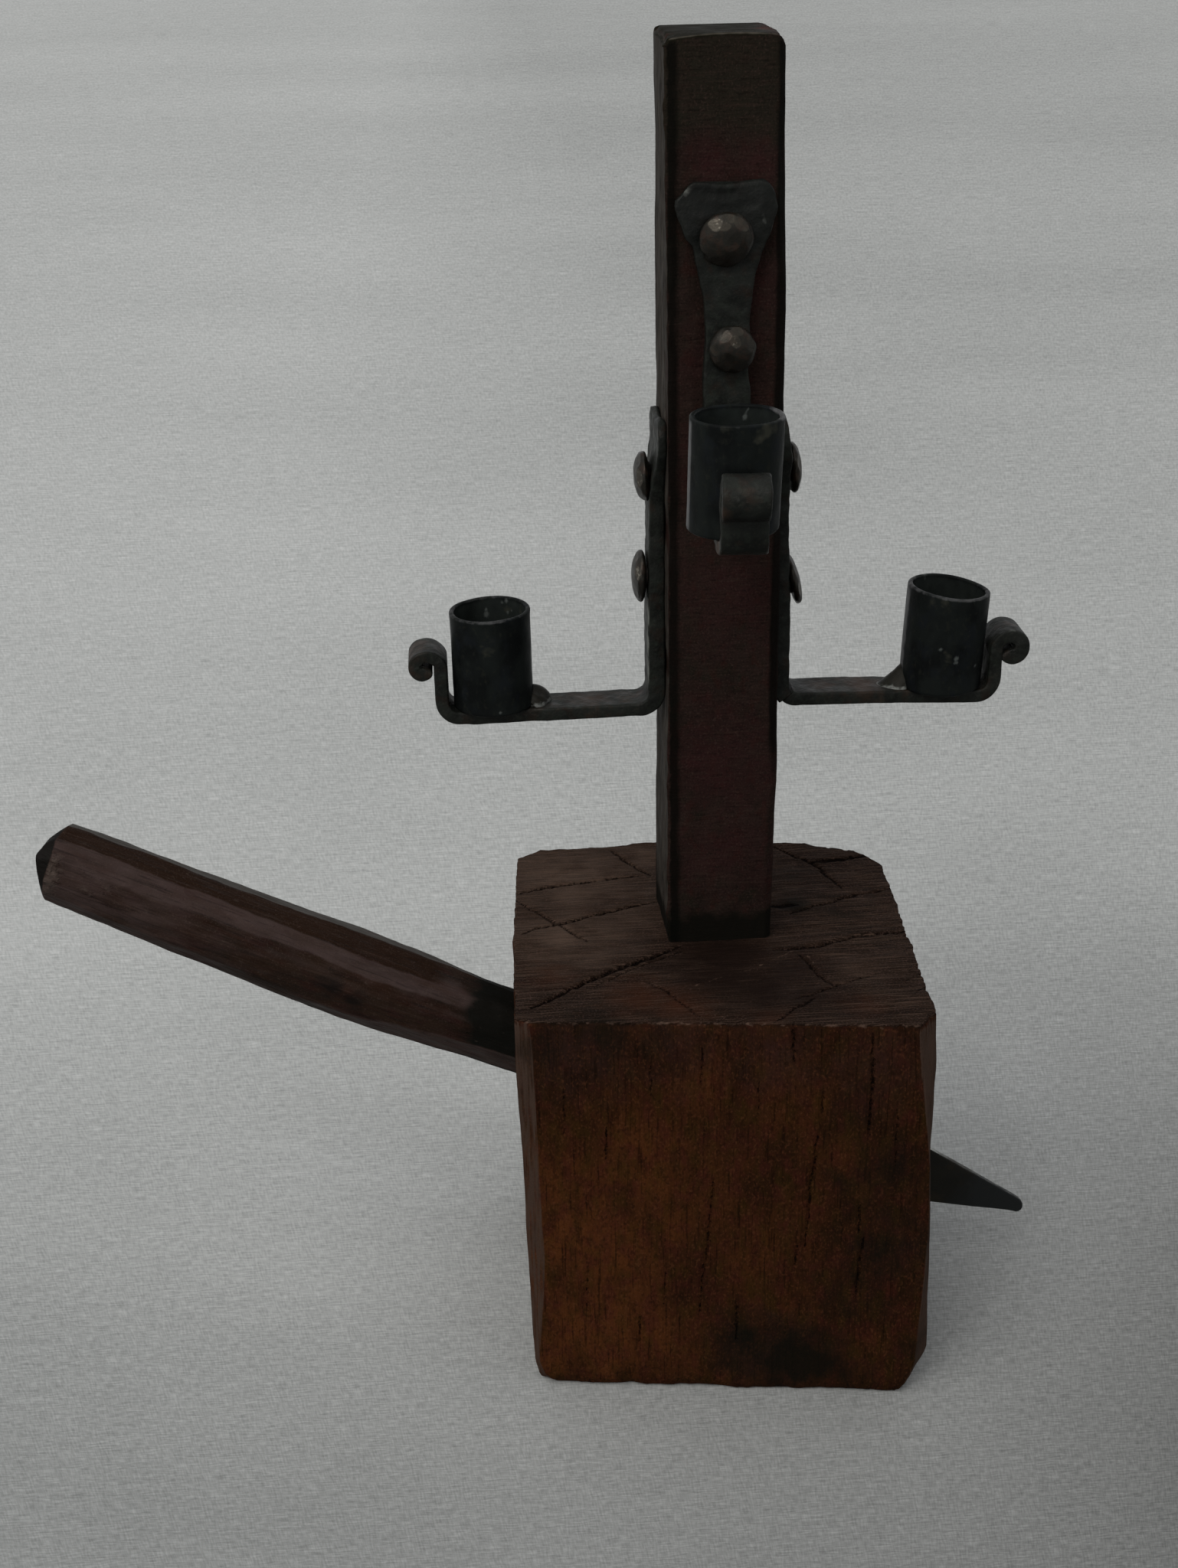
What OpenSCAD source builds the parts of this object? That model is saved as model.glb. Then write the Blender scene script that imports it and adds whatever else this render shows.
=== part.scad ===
// Rustic candlestick: a hewn wooden block and post with three forged iron arms, each with a candle cup,
// and a wooden handle with an iron blade driven through the block.
// Millimetres, +Z up. The origin lies on the floor under the post's centre line. The front arm points to -Y
// and the side arms point to -X and +X.

/* [Base block] */
// Width of the block between its left and right sides
block_w = 128; // [116:1:150]
// Depth of the block between its front and back faces
block_d = 124; // [112:1:150]
// Height of the block
block_h = 141; // [136:1:170]
// How far the block's middle lies left of the post's centre line
block_left = 3; // [0:0.5:6]
// How far the block's middle lies in front of the post's centre line
block_front = 7.5; // [0:0.5:12]
// Turn of the front and back faces in plan, in degrees
face_turn = 6; // [0:0.5:8]
// Turn of the left and right sides in plan, in degrees
side_turn = 2.2; // [0:0.1:4]
// Length hewn off the plan's front corners, along each edge
front_corner_cut = 3; // [1:0.5:6]
// Length hewn off the plan's back corners, along each edge
back_corner_cut = 9; // [2:0.5:14]
// Wear along the edges of the block's underside
foot_bevel = 4; // [1:0.5:8]

/* [Post] */
// Width of the square post
post_w = 33.5; // [33:0.5:40]
// Height of the post above the block
post_rise = 279; // [262:1:330]
// Bevel along the post's upright edges
post_edge = 1.5; // [0.5:0.1:3]
// Bevel round the post's top
post_crown = 3; // [1:0.5:6]
// Width of the square tenon at the post's foot
tenon_w = 25; // [18:0.5:28]
// Length of the tenon
tenon_len = 38; // [20:1:40]

/* [Iron strap] */
// Width of the straps
strap_w = 13.8; // [12:0.2:16]
// Thickness of the straps
strap_t = 4.2; // [3:0.1:5]
// Thickness of a hammered top at its edge
flare_t = 2.6; // [2:0.1:3]
// Width of the hammered tops
flare_w = 30; // [24:0.5:32]
// Height of the two lobes of a hammered top
flare_len = 12; // [8:0.5:14]
// Height over which a hammered top narrows to the strap
neck_len = 14; // [10:0.5:20]
// Outside radius of the bends
bend_r = 8.5; // [7:0.1:11]
// Inside radius of the bend under the curl, hammered tight beside the cup's foot
tight_bend_r = 2; // [1:0.1:2]
// Radius of the rolled curl
curl_r = 6.9; // [6:0.1:8]
// How much the curl's radius shrinks over its sweep
curl_shrink = 1.2; // [0:0.1:1.6]
// Thickness of the curl's rolled end
curl_end_t = 2.8; // [2:0.1:3]
// Sweep of the curl, in degrees
curl_sweep = 275; // [240:5:285]

/* [Arms] */
// Reach of the side arms from the post's centre line to the cup's centre line
side_reach = 71.5; // [66:0.5:90]
// Reach of the front arm from the post's centre line to the cup's centre line
front_reach = 72; // [66:0.5:90]
// Height of the side arms' undersides above the block's top
side_arm_z = 76; // [50:1:120]
// Height of the front arm's underside above the block's top
front_arm_z = 153; // [130:1:170]
// Height of the side arms from underside to hammered top
side_arm_h = 97; // [94:1:110]
// Height of the front arm from underside to hammered top
front_arm_h = 87; // [85:1:100]
// Height of a curl's middle above its side arm's underside
side_curl_z = 21.5; // [20:0.5:26]
// Height of the curl's middle above the front arm's underside
front_curl_z = 18; // [17:0.5:24]
// Turn of the front arm's run to the left, in degrees
front_swing = 3.5; // [0:0.1:4]

/* [Nails] */
// Height of the left arm's lower nail above the arm's underside
left_nail_low = 44.5; // [38:0.5:50]
// Height of the left arm's upper nail above the arm's underside
left_nail_high = 76; // [70:0.5:80]
// Height of the right arm's lower nail above the arm's underside
right_nail_low = 41; // [38:0.5:50]
// Height of the right arm's upper nail above the arm's underside
right_nail_high = 77.5; // [70:0.5:80]
// Height of the front arm's lower nail above the arm's underside
front_nail_low = 42; // [38:0.5:48]
// Height of the front arm's upper nail above the arm's underside
front_nail_high = 72.5; // [66:0.5:74]
// Diameter of the nail heads
nail_head_d = 16; // [12:0.5:18]
// Height of the nail heads
nail_head_h = 4.8; // [3:0.1:6]
// Height of the straight rim under a nail head's dome
nail_rim_h = 1.2; // [0.6:0.1:2]
// Diameter of the flat on top of a nail head
nail_flat_d = 6; // [3:0.5:9]
// Thickness of the nail shanks under the head
nail_t = 4; // [3:0.1:5]
// Thickness of the nail shanks at their tip
nail_tip_t = 1.6; // [1:0.1:2]
// Depth of the nail shanks in the post
nail_depth = 14; // [10:0.5:15]

/* [Candle cups] */
// Outside diameter of the cups
cup_od = 25.4; // [24:0.1:28]
// Bore of the cups
cup_id = 22.4; // [21:0.1:23]
// Height of the cups
cup_h = 31; // [26:0.5:40]
// Bevel filed round the outside of a cup's foot, to clear the bend beside it
cup_foot_bevel = 0.8; // [0.6:0.1:1]
// Height of the weld bead against the cup
weld_h = 6; // [3:0.5:9]
// Width of the weld bead on the strap
weld_w = 5; // [3:0.5:7]

/* [Handle and blade] */
// Slope of the handle and blade, in degrees
tool_slope = 25.8; // [20:0.2:27]
// Height of the tool's centre line under the post
tool_z = 73; // [70:0.5:76]
// Length of the handle outside the block
handle_out = 160; // [120:1:200]
// Depth of the handle in the block's left side
handle_in = 24; // [14:1:28]
// Size of the handle across its flats, at the block
handle_w = 29; // [28:0.5:30]
// Size of the handle across its flats, at its thickest
handle_belly_w = 32; // [30:0.5:36]
// Size of the handle across its flats, on the far end's face
handle_end_w = 20; // [14:0.5:26]
// Length of the hewn bevel at the handle's far end
handle_bevel = 6; // [3:0.5:12]
// Width of the blade
blade_w = 27; // [20:0.5:28]
// Thickness of the blade
blade_t = 2.5; // [1.5:0.1:4]
// Width of the blade's blunt tip
tip_w = 4.6; // [3:0.1:8]
// Length of the tapered point
point_len = 53; // [30:1:60]
// Distance from the post's centre line to the blade's tip, along the tool
blade_reach = 121.5; // [112:0.5:140]
// Width of the tang at the blade's shoulder
tang_w = 15; // [10:0.5:20]
// Width of the tang at its end
tang_end_w = 8; // [5:0.5:10]
// Length of the tang in the handle
tang_len = 62; // [40:1:80]

/* [Clearances] */
// Clearance round the tenon, the handle's end, the blade and the tang
fit_gap = 0.15; // [0.1:0.05:0.3]
// Gap between a strap and the post, and between a cup, weld or nail head and its strap
seat_gap = 0.1; // [0.05:0.05:0.2]
// Gap between a cup and the upturned end of its strap
cup_gap = 0.7; // [0.7:0.1:1.5]
// Clearance round the nail shanks in the post
nail_gap = 0.1; // [0.05:0.05:0.2]
// Clearance round the nail shanks in the punched holes of the straps
punch_gap = 0.4; // [0.2:0.1:0.8]

/* [Hidden] */

block_wood = [0.45, 0.26, 0.16];
post_wood = [0.30, 0.15, 0.12];
handle_wood = [0.40, 0.27, 0.23];
strap_iron = [0.20, 0.21, 0.20];
cup_iron = [0.17, 0.19, 0.20];
nail_iron = [0.32, 0.28, 0.26];
blade_iron = [0.24, 0.23, 0.19];

$fn = 64;
bend_steps = 8;
curl_steps = 28;
neck_steps = 8;
lobe_steps = 10;
lobe_end_angle = 150;
weld_steps = 4;
nail_sides = 9;
dome_shoulder = 0.81;
dome_rise = 0.67;
spare = 1;
lap = 0.25;
left_turn = 180;
right_turn = 0;
front_turn = -90;
span = block_w + block_d + block_h + post_rise;

block_at = [-block_left, -block_front];
post_face = post_w / 2 + seat_gap;
on_strap = strap_t + seat_gap;
weld_r = cup_od / 2 + seat_gap;
weld_half_angle = asin(strap_w / 2 / (weld_r + weld_w));

// Places along the tool's centre line, from the post's centre line, growing towards the blade's tip
entry_x = -(block_left + block_w / 2 / cos(side_turn)) / cos(tool_slope);
handle_face_x = entry_x + handle_in;
handle_end_x = entry_x - handle_out;
grip_x = entry_x - handle_w / 2 * tan(tool_slope) - spare;
shoulder_x = handle_face_x + fit_gap;
tang_end_x = shoulder_x - tang_len;
point_x = blade_reach - point_len;

function toward(a, b, length) = a + (b - a) * length / norm(b - a);

function arc(centre, r, from, to, steps) = [
  for (i = [0:steps]) let(a = from + (to - from) * i / steps) centre + r * [cos(a), sin(a)]
];

// A corner of the block in plan, where the lines of one side and one face cross
function plan_corner(sx, sy) = block_at + [
  sx * block_w / 2 * cos(face_turn) + sy * block_d / 2 * sin(side_turn),
  sy * block_d / 2 * cos(side_turn) - sx * block_w / 2 * sin(face_turn)
] / cos(face_turn - side_turn);

function block_plan() = let(
  corners = [plan_corner(-1, -1), plan_corner(1, -1), plan_corner(1, 1), plan_corner(-1, 1)],
  cuts = [front_corner_cut, front_corner_cut, back_corner_cut, back_corner_cut]
) [for (i = [0:3], step = [3, 1]) toward(corners[i], corners[(i + step) % 4], cuts[i])];

// A timber seen end on, w wide and h high, with a bevel along its two top edges, spare past its other sides
function bevelled(w, h, bevel) = let(
  wide = w / 2 + spare,
  flat = w / 2 - bevel,
  low = h - bevel - spare
) [[-wide, -spare], [wide, -spare], [wide, low], [flat, h], [-flat, h], [-wide, low]];

// Children stand on the post's face, with +X outward and Z = 0 at the underside of the arm's run
module at_arm(turn, z) {
  rotate([0, 0, turn]) translate([post_face, 0, block_h + z]) children();
}

// Turns an arm's run about the strap's left back edge
module swung(angle) {
  translate([0, -strap_w / 2, 0]) rotate([0, 0, -angle]) translate([0, strap_w / 2, 0]) children();
}

module at_tool() {
  translate([0, -block_front, tool_z]) rotate([0, tool_slope, 0]) children();
}

module along_tool(from, to) {
  translate([from, 0, 0]) rotate([0, 90, 0]) linear_extrude(to - from) children();
}

module flat_on_tool(thickness) {
  rotate([90, 0, 0]) linear_extrude(thickness, center = true) children();
}

// Base block

module base_block() {
  color(block_wood) difference() {
    intersection() {
      linear_extrude(block_h) polygon(block_plan());
      hewn_prism(-side_turn, block_w);
      hewn_prism(90 - face_turn, block_d);
    }
    mortise();
    at_tool() {
      along_tool(handle_end_x, shoulder_x) octagon(handle_w + 2 * fit_gap);
      along_tool(handle_face_x, span) square([blade_w, blade_t] + [2, 2] * fit_gap, center = true);
    }
  }
}

module hewn_prism(turn, w) {
  translate([block_at.x, block_at.y, block_h]) rotate([0, 0, turn]) rotate([-90, 0, 0])
    linear_extrude(span, center = true) polygon(bevelled(w, block_h, foot_bevel));
}

module mortise() {
  w = tenon_w + 2 * fit_gap;
  translate([-w / 2, -w / 2, block_h - tenon_len - fit_gap]) cube([w, w, tenon_len + spare]);
}

// Post

module post() {
  color(post_wood) difference() {
    union() {
      translate([0, 0, block_h]) intersection() {
        linear_extrude(post_rise) post_section();
        rotate([90, 0, 0]) crown_prism();
        rotate([90, 0, 90]) crown_prism();
      }
      translate([-tenon_w / 2, -tenon_w / 2, block_h - tenon_len])
        cube([tenon_w, tenon_w, tenon_len + spare]);
    }
    at_arm(left_turn, side_arm_z) nail_cuts(left_nail_low, left_nail_high);
    at_arm(right_turn, side_arm_z) nail_cuts(right_nail_low, right_nail_high);
    at_arm(front_turn, front_arm_z) nail_cuts(front_nail_low, front_nail_high);
  }
}

module post_section() {
  half = post_w / 2;
  inner = half - post_edge;
  polygon([
    [-inner, -half], [inner, -half], [half, -inner], [half, inner],
    [inner, half], [-inner, half], [-half, inner], [-half, -inner]
  ]);
}

module crown_prism() {
  linear_extrude(span, center = true) polygon(bevelled(post_w, post_rise, post_crown));
}

module nail_cuts(low, high) {
  for (z = [low, high]) translate([0, 0, z]) shank(nail_gap);
}

// Iron arms

// The side view of a strap, from its hammered top down, outward along the run and up round the curl
function strap_side(h, cup_x, curl_z, flat_to) = let(
  in_x = cup_x + cup_od / 2 + cup_gap,
  out_x = in_x + strap_t,
  near_bend = [bend_r, bend_r],
  far_bend = [out_x - bend_r, bend_r],
  tight_bend = [in_x - tight_bend_r, strap_t + tight_bend_r],
  curl_at = [in_x + curl_r, curl_z]
) concat(
  [[0, h]],
  arc(near_bend, bend_r, 180, 270, bend_steps),
  arc(far_bend, bend_r, 270, 360, bend_steps),
  [for (i = [0:curl_steps]) curl_point(curl_at, i / curl_steps, 1)],
  [for (i = [curl_steps:-1:0]) curl_point(curl_at, i / curl_steps, 0)],
  arc(tight_bend, tight_bend_r, 360, 270, bend_steps),
  arc(near_bend, bend_r - strap_t, 270, 180, bend_steps),
  [[strap_t, flat_to], [flare_t, h]]
);

// A point of the curl, on its outside at depth 0 and on its inside at depth 1
function curl_point(at, share, depth) = let(
  a = 180 - curl_sweep * share,
  t = strap_t + (curl_end_t - strap_t) * share
) at + (curl_r - curl_shrink * share - t * depth) * [cos(a), sin(a)];

// The front view of a strap: two lobes on top, a hollow neck and a level width below
function strap_front(h) = let(
  neck_z = h - flare_len - neck_len,
  lobe_z = h - flare_len / 2,
  half = concat(
    [[strap_w / 2, -spare]],
    [for (i = [0:neck_steps]) let(a = 180 - 90 * i / neck_steps)
      [flare_w / 2 + (flare_w - strap_w) / 2 * cos(a), neck_z + neck_len * sin(a)]],
    [for (i = [0:lobe_steps]) let(a = lobe_end_angle * i / lobe_steps)
      [flare_w / 4 * (1 + cos(a)), lobe_z + flare_len / 2 * sin(a)]]
  )
) concat(half, [for (i = [len(half) - 1:-1:0]) [-half[i].x, half[i].y]]);

module flat_arm(h, reach, curl_z, nail_high) {
  intersection() {
    rotate([90, 0, 0]) linear_extrude(flare_w + 2 * spare, center = true)
      polygon(strap_side(h, reach - post_face, curl_z, nail_high + nail_head_d / 2));
    translate([-spare, 0, 0]) rotate([90, 0, 90]) linear_extrude(span) polygon(strap_front(h));
  }
}

// The box that holds the upright stretch of a strap, from the top of its first bend
module upright_box(h, low) {
  translate([-spare, -flare_w, low]) cube([strap_t + 2 * spare, 2 * flare_w, h]);
}

module arm(h, reach, curl_z, nail_low, nail_high, swing) {
  color(strap_iron) difference() {
    if (swing == 0) {
      flat_arm(h, reach, curl_z, nail_high);
    } else {
      union() {
        intersection() {
          flat_arm(h, reach, curl_z, nail_high);
          upright_box(h, bend_r);
        }
        swung(swing) difference() {
          flat_arm(h, reach, curl_z, nail_high);
          upright_box(h, bend_r + lap);
        }
      }
    }
    for (z = [nail_low, nail_high]) translate([-spare, 0, z]) rotate([0, 90, 0])
      cylinder(d = nail_t * sqrt(2) + 2 * punch_gap, h = strap_t + 2 * spare);
  }
}

module front_arm() {
  at_arm(front_turn, front_arm_z)
    arm(front_arm_h, front_reach, front_curl_z, front_nail_low, front_nail_high, front_swing);
}

module left_arm() {
  at_arm(left_turn, side_arm_z)
    arm(side_arm_h, side_reach, side_curl_z, left_nail_low, left_nail_high, 0);
}

module right_arm() {
  at_arm(right_turn, side_arm_z)
    arm(side_arm_h, side_reach, side_curl_z, right_nail_low, right_nail_high, 0);
}

// Candle cups and their welds

module cup(reach) {
  inner = cup_id / 2;
  outer = cup_od / 2;
  color(cup_iron) translate([reach - post_face, 0, on_strap]) rotate_extrude() polygon([
    [inner, 0], [outer - cup_foot_bevel, 0], [outer, cup_foot_bevel], [outer, cup_h], [inner, cup_h]
  ]);
}

module weld(reach) {
  color(strap_iron) translate([reach - post_face, 0, on_strap]) rotate([0, 0, 180 - weld_half_angle])
    rotate_extrude(angle = 2 * weld_half_angle) polygon(concat(
      [[weld_r, 0]],
      [for (i = [0:weld_steps]) let(a = 90 * i / weld_steps) [weld_r + weld_w * cos(a), weld_h * sin(a)]]
    ));
}

module front_cup() {
  at_arm(front_turn, front_arm_z) swung(front_swing) cup(front_reach);
}

module left_cup() {
  at_arm(left_turn, side_arm_z) cup(side_reach);
}

module right_cup() {
  at_arm(right_turn, side_arm_z) cup(side_reach);
}

module front_weld() {
  at_arm(front_turn, front_arm_z) swung(front_swing) weld(front_reach);
}

module left_weld() {
  at_arm(left_turn, side_arm_z) weld(side_reach);
}

module right_weld() {
  at_arm(right_turn, side_arm_z) weld(side_reach);
}

// Nails

module shank(gap) {
  tip_x = -seat_gap - nail_depth - gap;
  rotate([90, 0, 0]) linear_extrude(nail_t + 2 * gap, center = true) polygon([
    [tip_x, -nail_tip_t / 2 - gap], [on_strap + spare, -nail_t / 2 - gap],
    [on_strap + spare, nail_t / 2 + gap], [tip_x, nail_tip_t / 2 + gap]
  ]);
}

module nail(z) {
  dome_r = nail_head_d / 2 * dome_shoulder;
  dome_z = nail_rim_h + (nail_head_h - nail_rim_h) * dome_rise;
  color(nail_iron) translate([0, 0, z]) union() {
    shank(0);
    translate([on_strap, 0, 0]) rotate([0, 90, 0]) rotate_extrude($fn = nail_sides) polygon([
      [0, 0], [nail_head_d / 2, 0], [nail_head_d / 2, nail_rim_h], [dome_r, dome_z],
      [nail_flat_d / 2, nail_head_h], [0, nail_head_h]
    ]);
  }
}

module front_nail_upper() {
  at_arm(front_turn, front_arm_z) nail(front_nail_high);
}

module front_nail_lower() {
  at_arm(front_turn, front_arm_z) nail(front_nail_low);
}

module left_nail_upper() {
  at_arm(left_turn, side_arm_z) nail(left_nail_high);
}

module left_nail_lower() {
  at_arm(left_turn, side_arm_z) nail(left_nail_low);
}

module right_nail_upper() {
  at_arm(right_turn, side_arm_z) nail(right_nail_high);
}

module right_nail_lower() {
  at_arm(right_turn, side_arm_z) nail(right_nail_low);
}

// Handle and blade

module octagon(across) {
  rotate(22.5) circle(d = across / cos(22.5), $fn = 8);
}

function octagon_ring(x, across) = [
  for (i = [0:7]) let(a = 45 * i + 22.5) [x, across / 2 / cos(22.5) * cos(a), across / 2 / cos(22.5) * sin(a)]
];

module side_handle() {
  stations = [
    [handle_end_x, handle_end_w],
    [handle_end_x + handle_bevel, handle_w],
    [(handle_end_x + grip_x) / 2, handle_belly_w],
    [grip_x, handle_w],
    [handle_face_x, handle_w]
  ];
  last = len(stations) - 1;
  color(handle_wood) at_tool() difference() {
    polyhedron(
      points = [for (s = stations) each octagon_ring(s.x, s.y)],
      faces = concat(
        [[for (i = [0:7]) i], [for (i = [7:-1:0]) 8 * last + i]],
        [for (k = [0:last - 1], i = [0:7]) let(j = (i + 1) % 8)
          [8 * k + 8 + i, 8 * k + 8 + j, 8 * k + j, 8 * k + i]]
      )
    );
    flat_on_tool(blade_t + 2 * fit_gap) polygon([
      [tang_end_x - fit_gap, -tang_end_w / 2 - fit_gap], [handle_face_x + spare, -tang_w / 2 - fit_gap],
      [handle_face_x + spare, tang_w / 2 + fit_gap], [tang_end_x - fit_gap, tang_end_w / 2 + fit_gap]
    ]);
  }
}

module side_blade() {
  color(blade_iron) at_tool() flat_on_tool(blade_t) polygon([
    [tang_end_x, -tang_end_w / 2], [shoulder_x, -tang_w / 2], [shoulder_x, -blade_w / 2],
    [point_x, -blade_w / 2], [blade_reach, -tip_w / 2], [blade_reach, tip_w / 2], [point_x, blade_w / 2],
    [shoulder_x, blade_w / 2], [shoulder_x, tang_w / 2], [tang_end_x, tang_end_w / 2]
  ]);
}

base_block();
post();
front_arm();
left_arm();
right_arm();
front_cup();
left_cup();
right_cup();
front_weld();
left_weld();
right_weld();
front_nail_upper();
front_nail_lower();
left_nail_upper();
left_nail_lower();
right_nail_upper();
right_nail_lower();
side_handle();
side_blade();
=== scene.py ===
import math

import bmesh
import bpy
import numpy as np
from mathutils import Matrix, Vector, noise


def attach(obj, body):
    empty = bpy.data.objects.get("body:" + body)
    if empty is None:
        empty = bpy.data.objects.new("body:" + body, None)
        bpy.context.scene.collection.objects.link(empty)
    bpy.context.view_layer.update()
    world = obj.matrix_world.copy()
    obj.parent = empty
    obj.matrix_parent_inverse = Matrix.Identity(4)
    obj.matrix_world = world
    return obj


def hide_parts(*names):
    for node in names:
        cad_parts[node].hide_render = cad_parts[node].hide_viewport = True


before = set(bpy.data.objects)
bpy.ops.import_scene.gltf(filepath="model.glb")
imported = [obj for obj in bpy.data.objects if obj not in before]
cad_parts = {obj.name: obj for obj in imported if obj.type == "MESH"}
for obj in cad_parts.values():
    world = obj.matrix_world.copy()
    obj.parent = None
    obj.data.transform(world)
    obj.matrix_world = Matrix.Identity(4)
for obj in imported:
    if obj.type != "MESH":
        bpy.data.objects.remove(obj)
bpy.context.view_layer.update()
print("frame:", len(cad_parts), "nodes")

mm = 0.001
blockTop = 141.0


def linear(hexColour):
    # an sRGB hex value as the linear colour that a socket wants
    parts = [int(hexColour[i:i + 2], 16) / 255 for i in (1, 3, 5)]
    return [p / 12.92 if p <= 0.04045 else ((p + 0.055) / 1.055) ** 2.4 for p in parts] + [1.0]


def add(tree, kind, links=None, out=0, **settings):
    # adds one node with its settings and links, and returns one of its output sockets
    node = tree.nodes.new(kind)
    for key, value in settings.items():
        setattr(node, key, value)
    for key, value in (links or {}).items():
        socket = next((s for s in node.inputs if s.identifier == key), None) or node.inputs[key]
        if isinstance(value, bpy.types.NodeSocket):
            tree.links.new(value, socket)
        else:
            socket.default_value = value
    return node.outputs[out] if len(node.outputs) else node


def rough(points, size, seed, octaves=2):
    # Perlin noise of about -1 to 1 at each point, with features of the given size in mm
    shift = Vector((seed * 13.7, seed * 7.1, seed * 3.3))
    scaled = np.asarray(points, float) / (np.array(size, float) * np.ones(3))
    return np.array([noise.fractal(Vector(p) + shift, 0.8, 2.1, octaves) for p in scaled])


def smooth(value, low, high):
    share = np.clip((np.asarray(value, float) - low) / (high - low), 0, 1)
    return share * share * (3 - 2 * share)


def ringFaces(rows, around, first=0):
    # quads of a closed tube whose rings lie one after another
    i, j = np.meshgrid(np.arange(rows - 1), np.arange(around), indexing="ij")
    a = first + i * around + j
    b = first + i * around + (j + 1) % around
    return np.stack([a, b, b + around, a + around], -1).reshape(-1, 4).tolist()


def makePiece(name, points, faces, material, nodes, marks=None):
    # points in mm; marks are numbers kept on the points for the material to read
    mesh = bpy.data.meshes.new(name)
    mesh.from_pydata((np.asarray(points) * mm).tolist(), [], faces)
    for label, values in (marks or {}).items():
        layer = mesh.attributes.new(label, "FLOAT", "POINT")
        layer.data.foreach_set("value", np.asarray(values, np.float32))
    work = bmesh.new()
    work.from_mesh(mesh)
    bmesh.ops.recalc_face_normals(work, faces=work.faces)
    work.to_mesh(mesh)
    work.free()
    return dress(bpy.data.objects.new(name, mesh), material, nodes)


def dress(obj, material, nodes):
    if not obj.users_collection:
        bpy.context.scene.collection.objects.link(obj)
    obj.data.polygons.foreach_set("use_smooth", [True] * len(obj.data.polygons))
    obj.data.materials.clear()
    obj.data.materials.append(material)
    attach(obj, "root")
    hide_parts(*nodes)
    return obj


def nearLine(points, line):
    # distance of each 2-D point from a line of short segments, and where along the line it is nearest
    line = np.array(line, float)
    lengths = np.linalg.norm(np.diff(line, axis=0), axis=1)
    start = np.concatenate([[0], np.cumsum(lengths)])
    best, where = np.full(len(points), 1e9), np.zeros(len(points))
    for k, length in enumerate(lengths):
        along = (line[k + 1] - line[k]) / length
        t = np.clip((points - line[k]) @ along, 0, length)
        away = np.linalg.norm(points - line[k] - t[:, None] * along, axis=1)
        closer = away < best
        best[closer] = away[closer]
        where[closer] = (start[k] + t[closer]) / start[-1]
    return best, where


def jagged(line, step, amount, seed):
    # the same line in short steps, each pushed a little to one side
    line = np.array(line, float)
    draw = np.random.default_rng(seed)
    lengths = np.linalg.norm(np.diff(line, axis=0), axis=1)
    start = np.concatenate([[0], np.cumsum(lengths)])
    at = np.linspace(0, start[-1], max(3, int(start[-1] / step)))
    path = np.stack([np.interp(at, start, line[:, 0]), np.interp(at, start, line[:, 1])], 1)
    path[1:-1] += draw.uniform(-amount, amount, (len(path) - 2, 2))
    return path


def makeFinish(name, look):
    # look["coats"] lie over the base colour in order; look["relief"] are heights in mm; sizes in mm
    material = bpy.data.materials.new(name)
    material.use_nodes = True
    tree = material.node_tree
    tree.nodes.clear()
    place = add(tree, "ShaderNodeTexCoord", out=3)
    if "turn" in look:
        place = add(tree, "ShaderNodeMapping", {"Vector": place, "Rotation": look["turn"]})

    def pattern(layer):
        scaled = add(tree, "ShaderNodeMapping", {
            "Vector": place, "Location": [layer.get("seed", 0) * 3.7] * 3,
            "Scale": [1000 / s for s in layer["size"]]})
        return add(tree, "ShaderNodeTexNoise", {
            "Vector": scaled, "Scale": 1.0, "Detail": layer.get("detail", 3.0),
            "Roughness": layer.get("rough", 0.5), "Distortion": layer.get("warp", 0.0)})

    def mask(layer):
        # noise alone, a mark kept on the points alone, or the mark with its edges broken by the noise
        value = pattern(layer) if "size" in layer else None
        if "on" in layer:
            mark = add(tree, "ShaderNodeAttribute", out=2, attribute_name=layer["on"])
            if value is None:
                value = mark
            else:
                centred = add(tree, "ShaderNodeMath", {"Value": value, "Value_001": -0.5}, operation="ADD")
                value = add(tree, "ShaderNodeMath", {
                    "Value": centred, "Value_001": layer.get("spread", 1.0), "Value_002": mark},
                    operation="MULTIPLY_ADD")
        low, high = layer["range"]
        return add(tree, "ShaderNodeMapRange", {
            "Value": value, "From Min": low, "From Max": high, "To Max": layer.get("amount", 1.0)})

    colour = linear(look["coats"][0]["colour"])
    for coat in look["coats"][1:]:
        colour = add(tree, "ShaderNodeMix", {
            "Factor_Float": mask(coat), "A_Color": colour, "B_Color": linear(coat["colour"])},
            out=2, data_type="RGBA", blend_type=coat.get("blend", "MIX"))
    height = 0.0
    for layer in look["relief"]:
        source = mask(layer) if "range" in layer else pattern(layer)
        height = add(tree, "ShaderNodeMath", {
            "Value": source, "Value_001": layer["height"], "Value_002": height}, operation="MULTIPLY_ADD")
    normal = add(tree, "ShaderNodeBump", {"Height": height, "Distance": mm, "Strength": 1.0})
    gloss = look["gloss"]
    roughness = add(tree, "ShaderNodeMapRange", {
        "Value": pattern(gloss), "From Min": 0.3, "From Max": 0.7,
        "To Min": gloss["low"], "To Max": gloss["high"]})
    settings = {"Base Color": colour, "Roughness": roughness, "Normal": normal}
    settings.update(look.get("shader", {}))
    surface = add(tree, "ShaderNodeBsdfPrincipled", settings)
    add(tree, "ShaderNodeOutputMaterial", {"Surface": surface})
    return material


toolSlope = math.radians(25.8)

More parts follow.
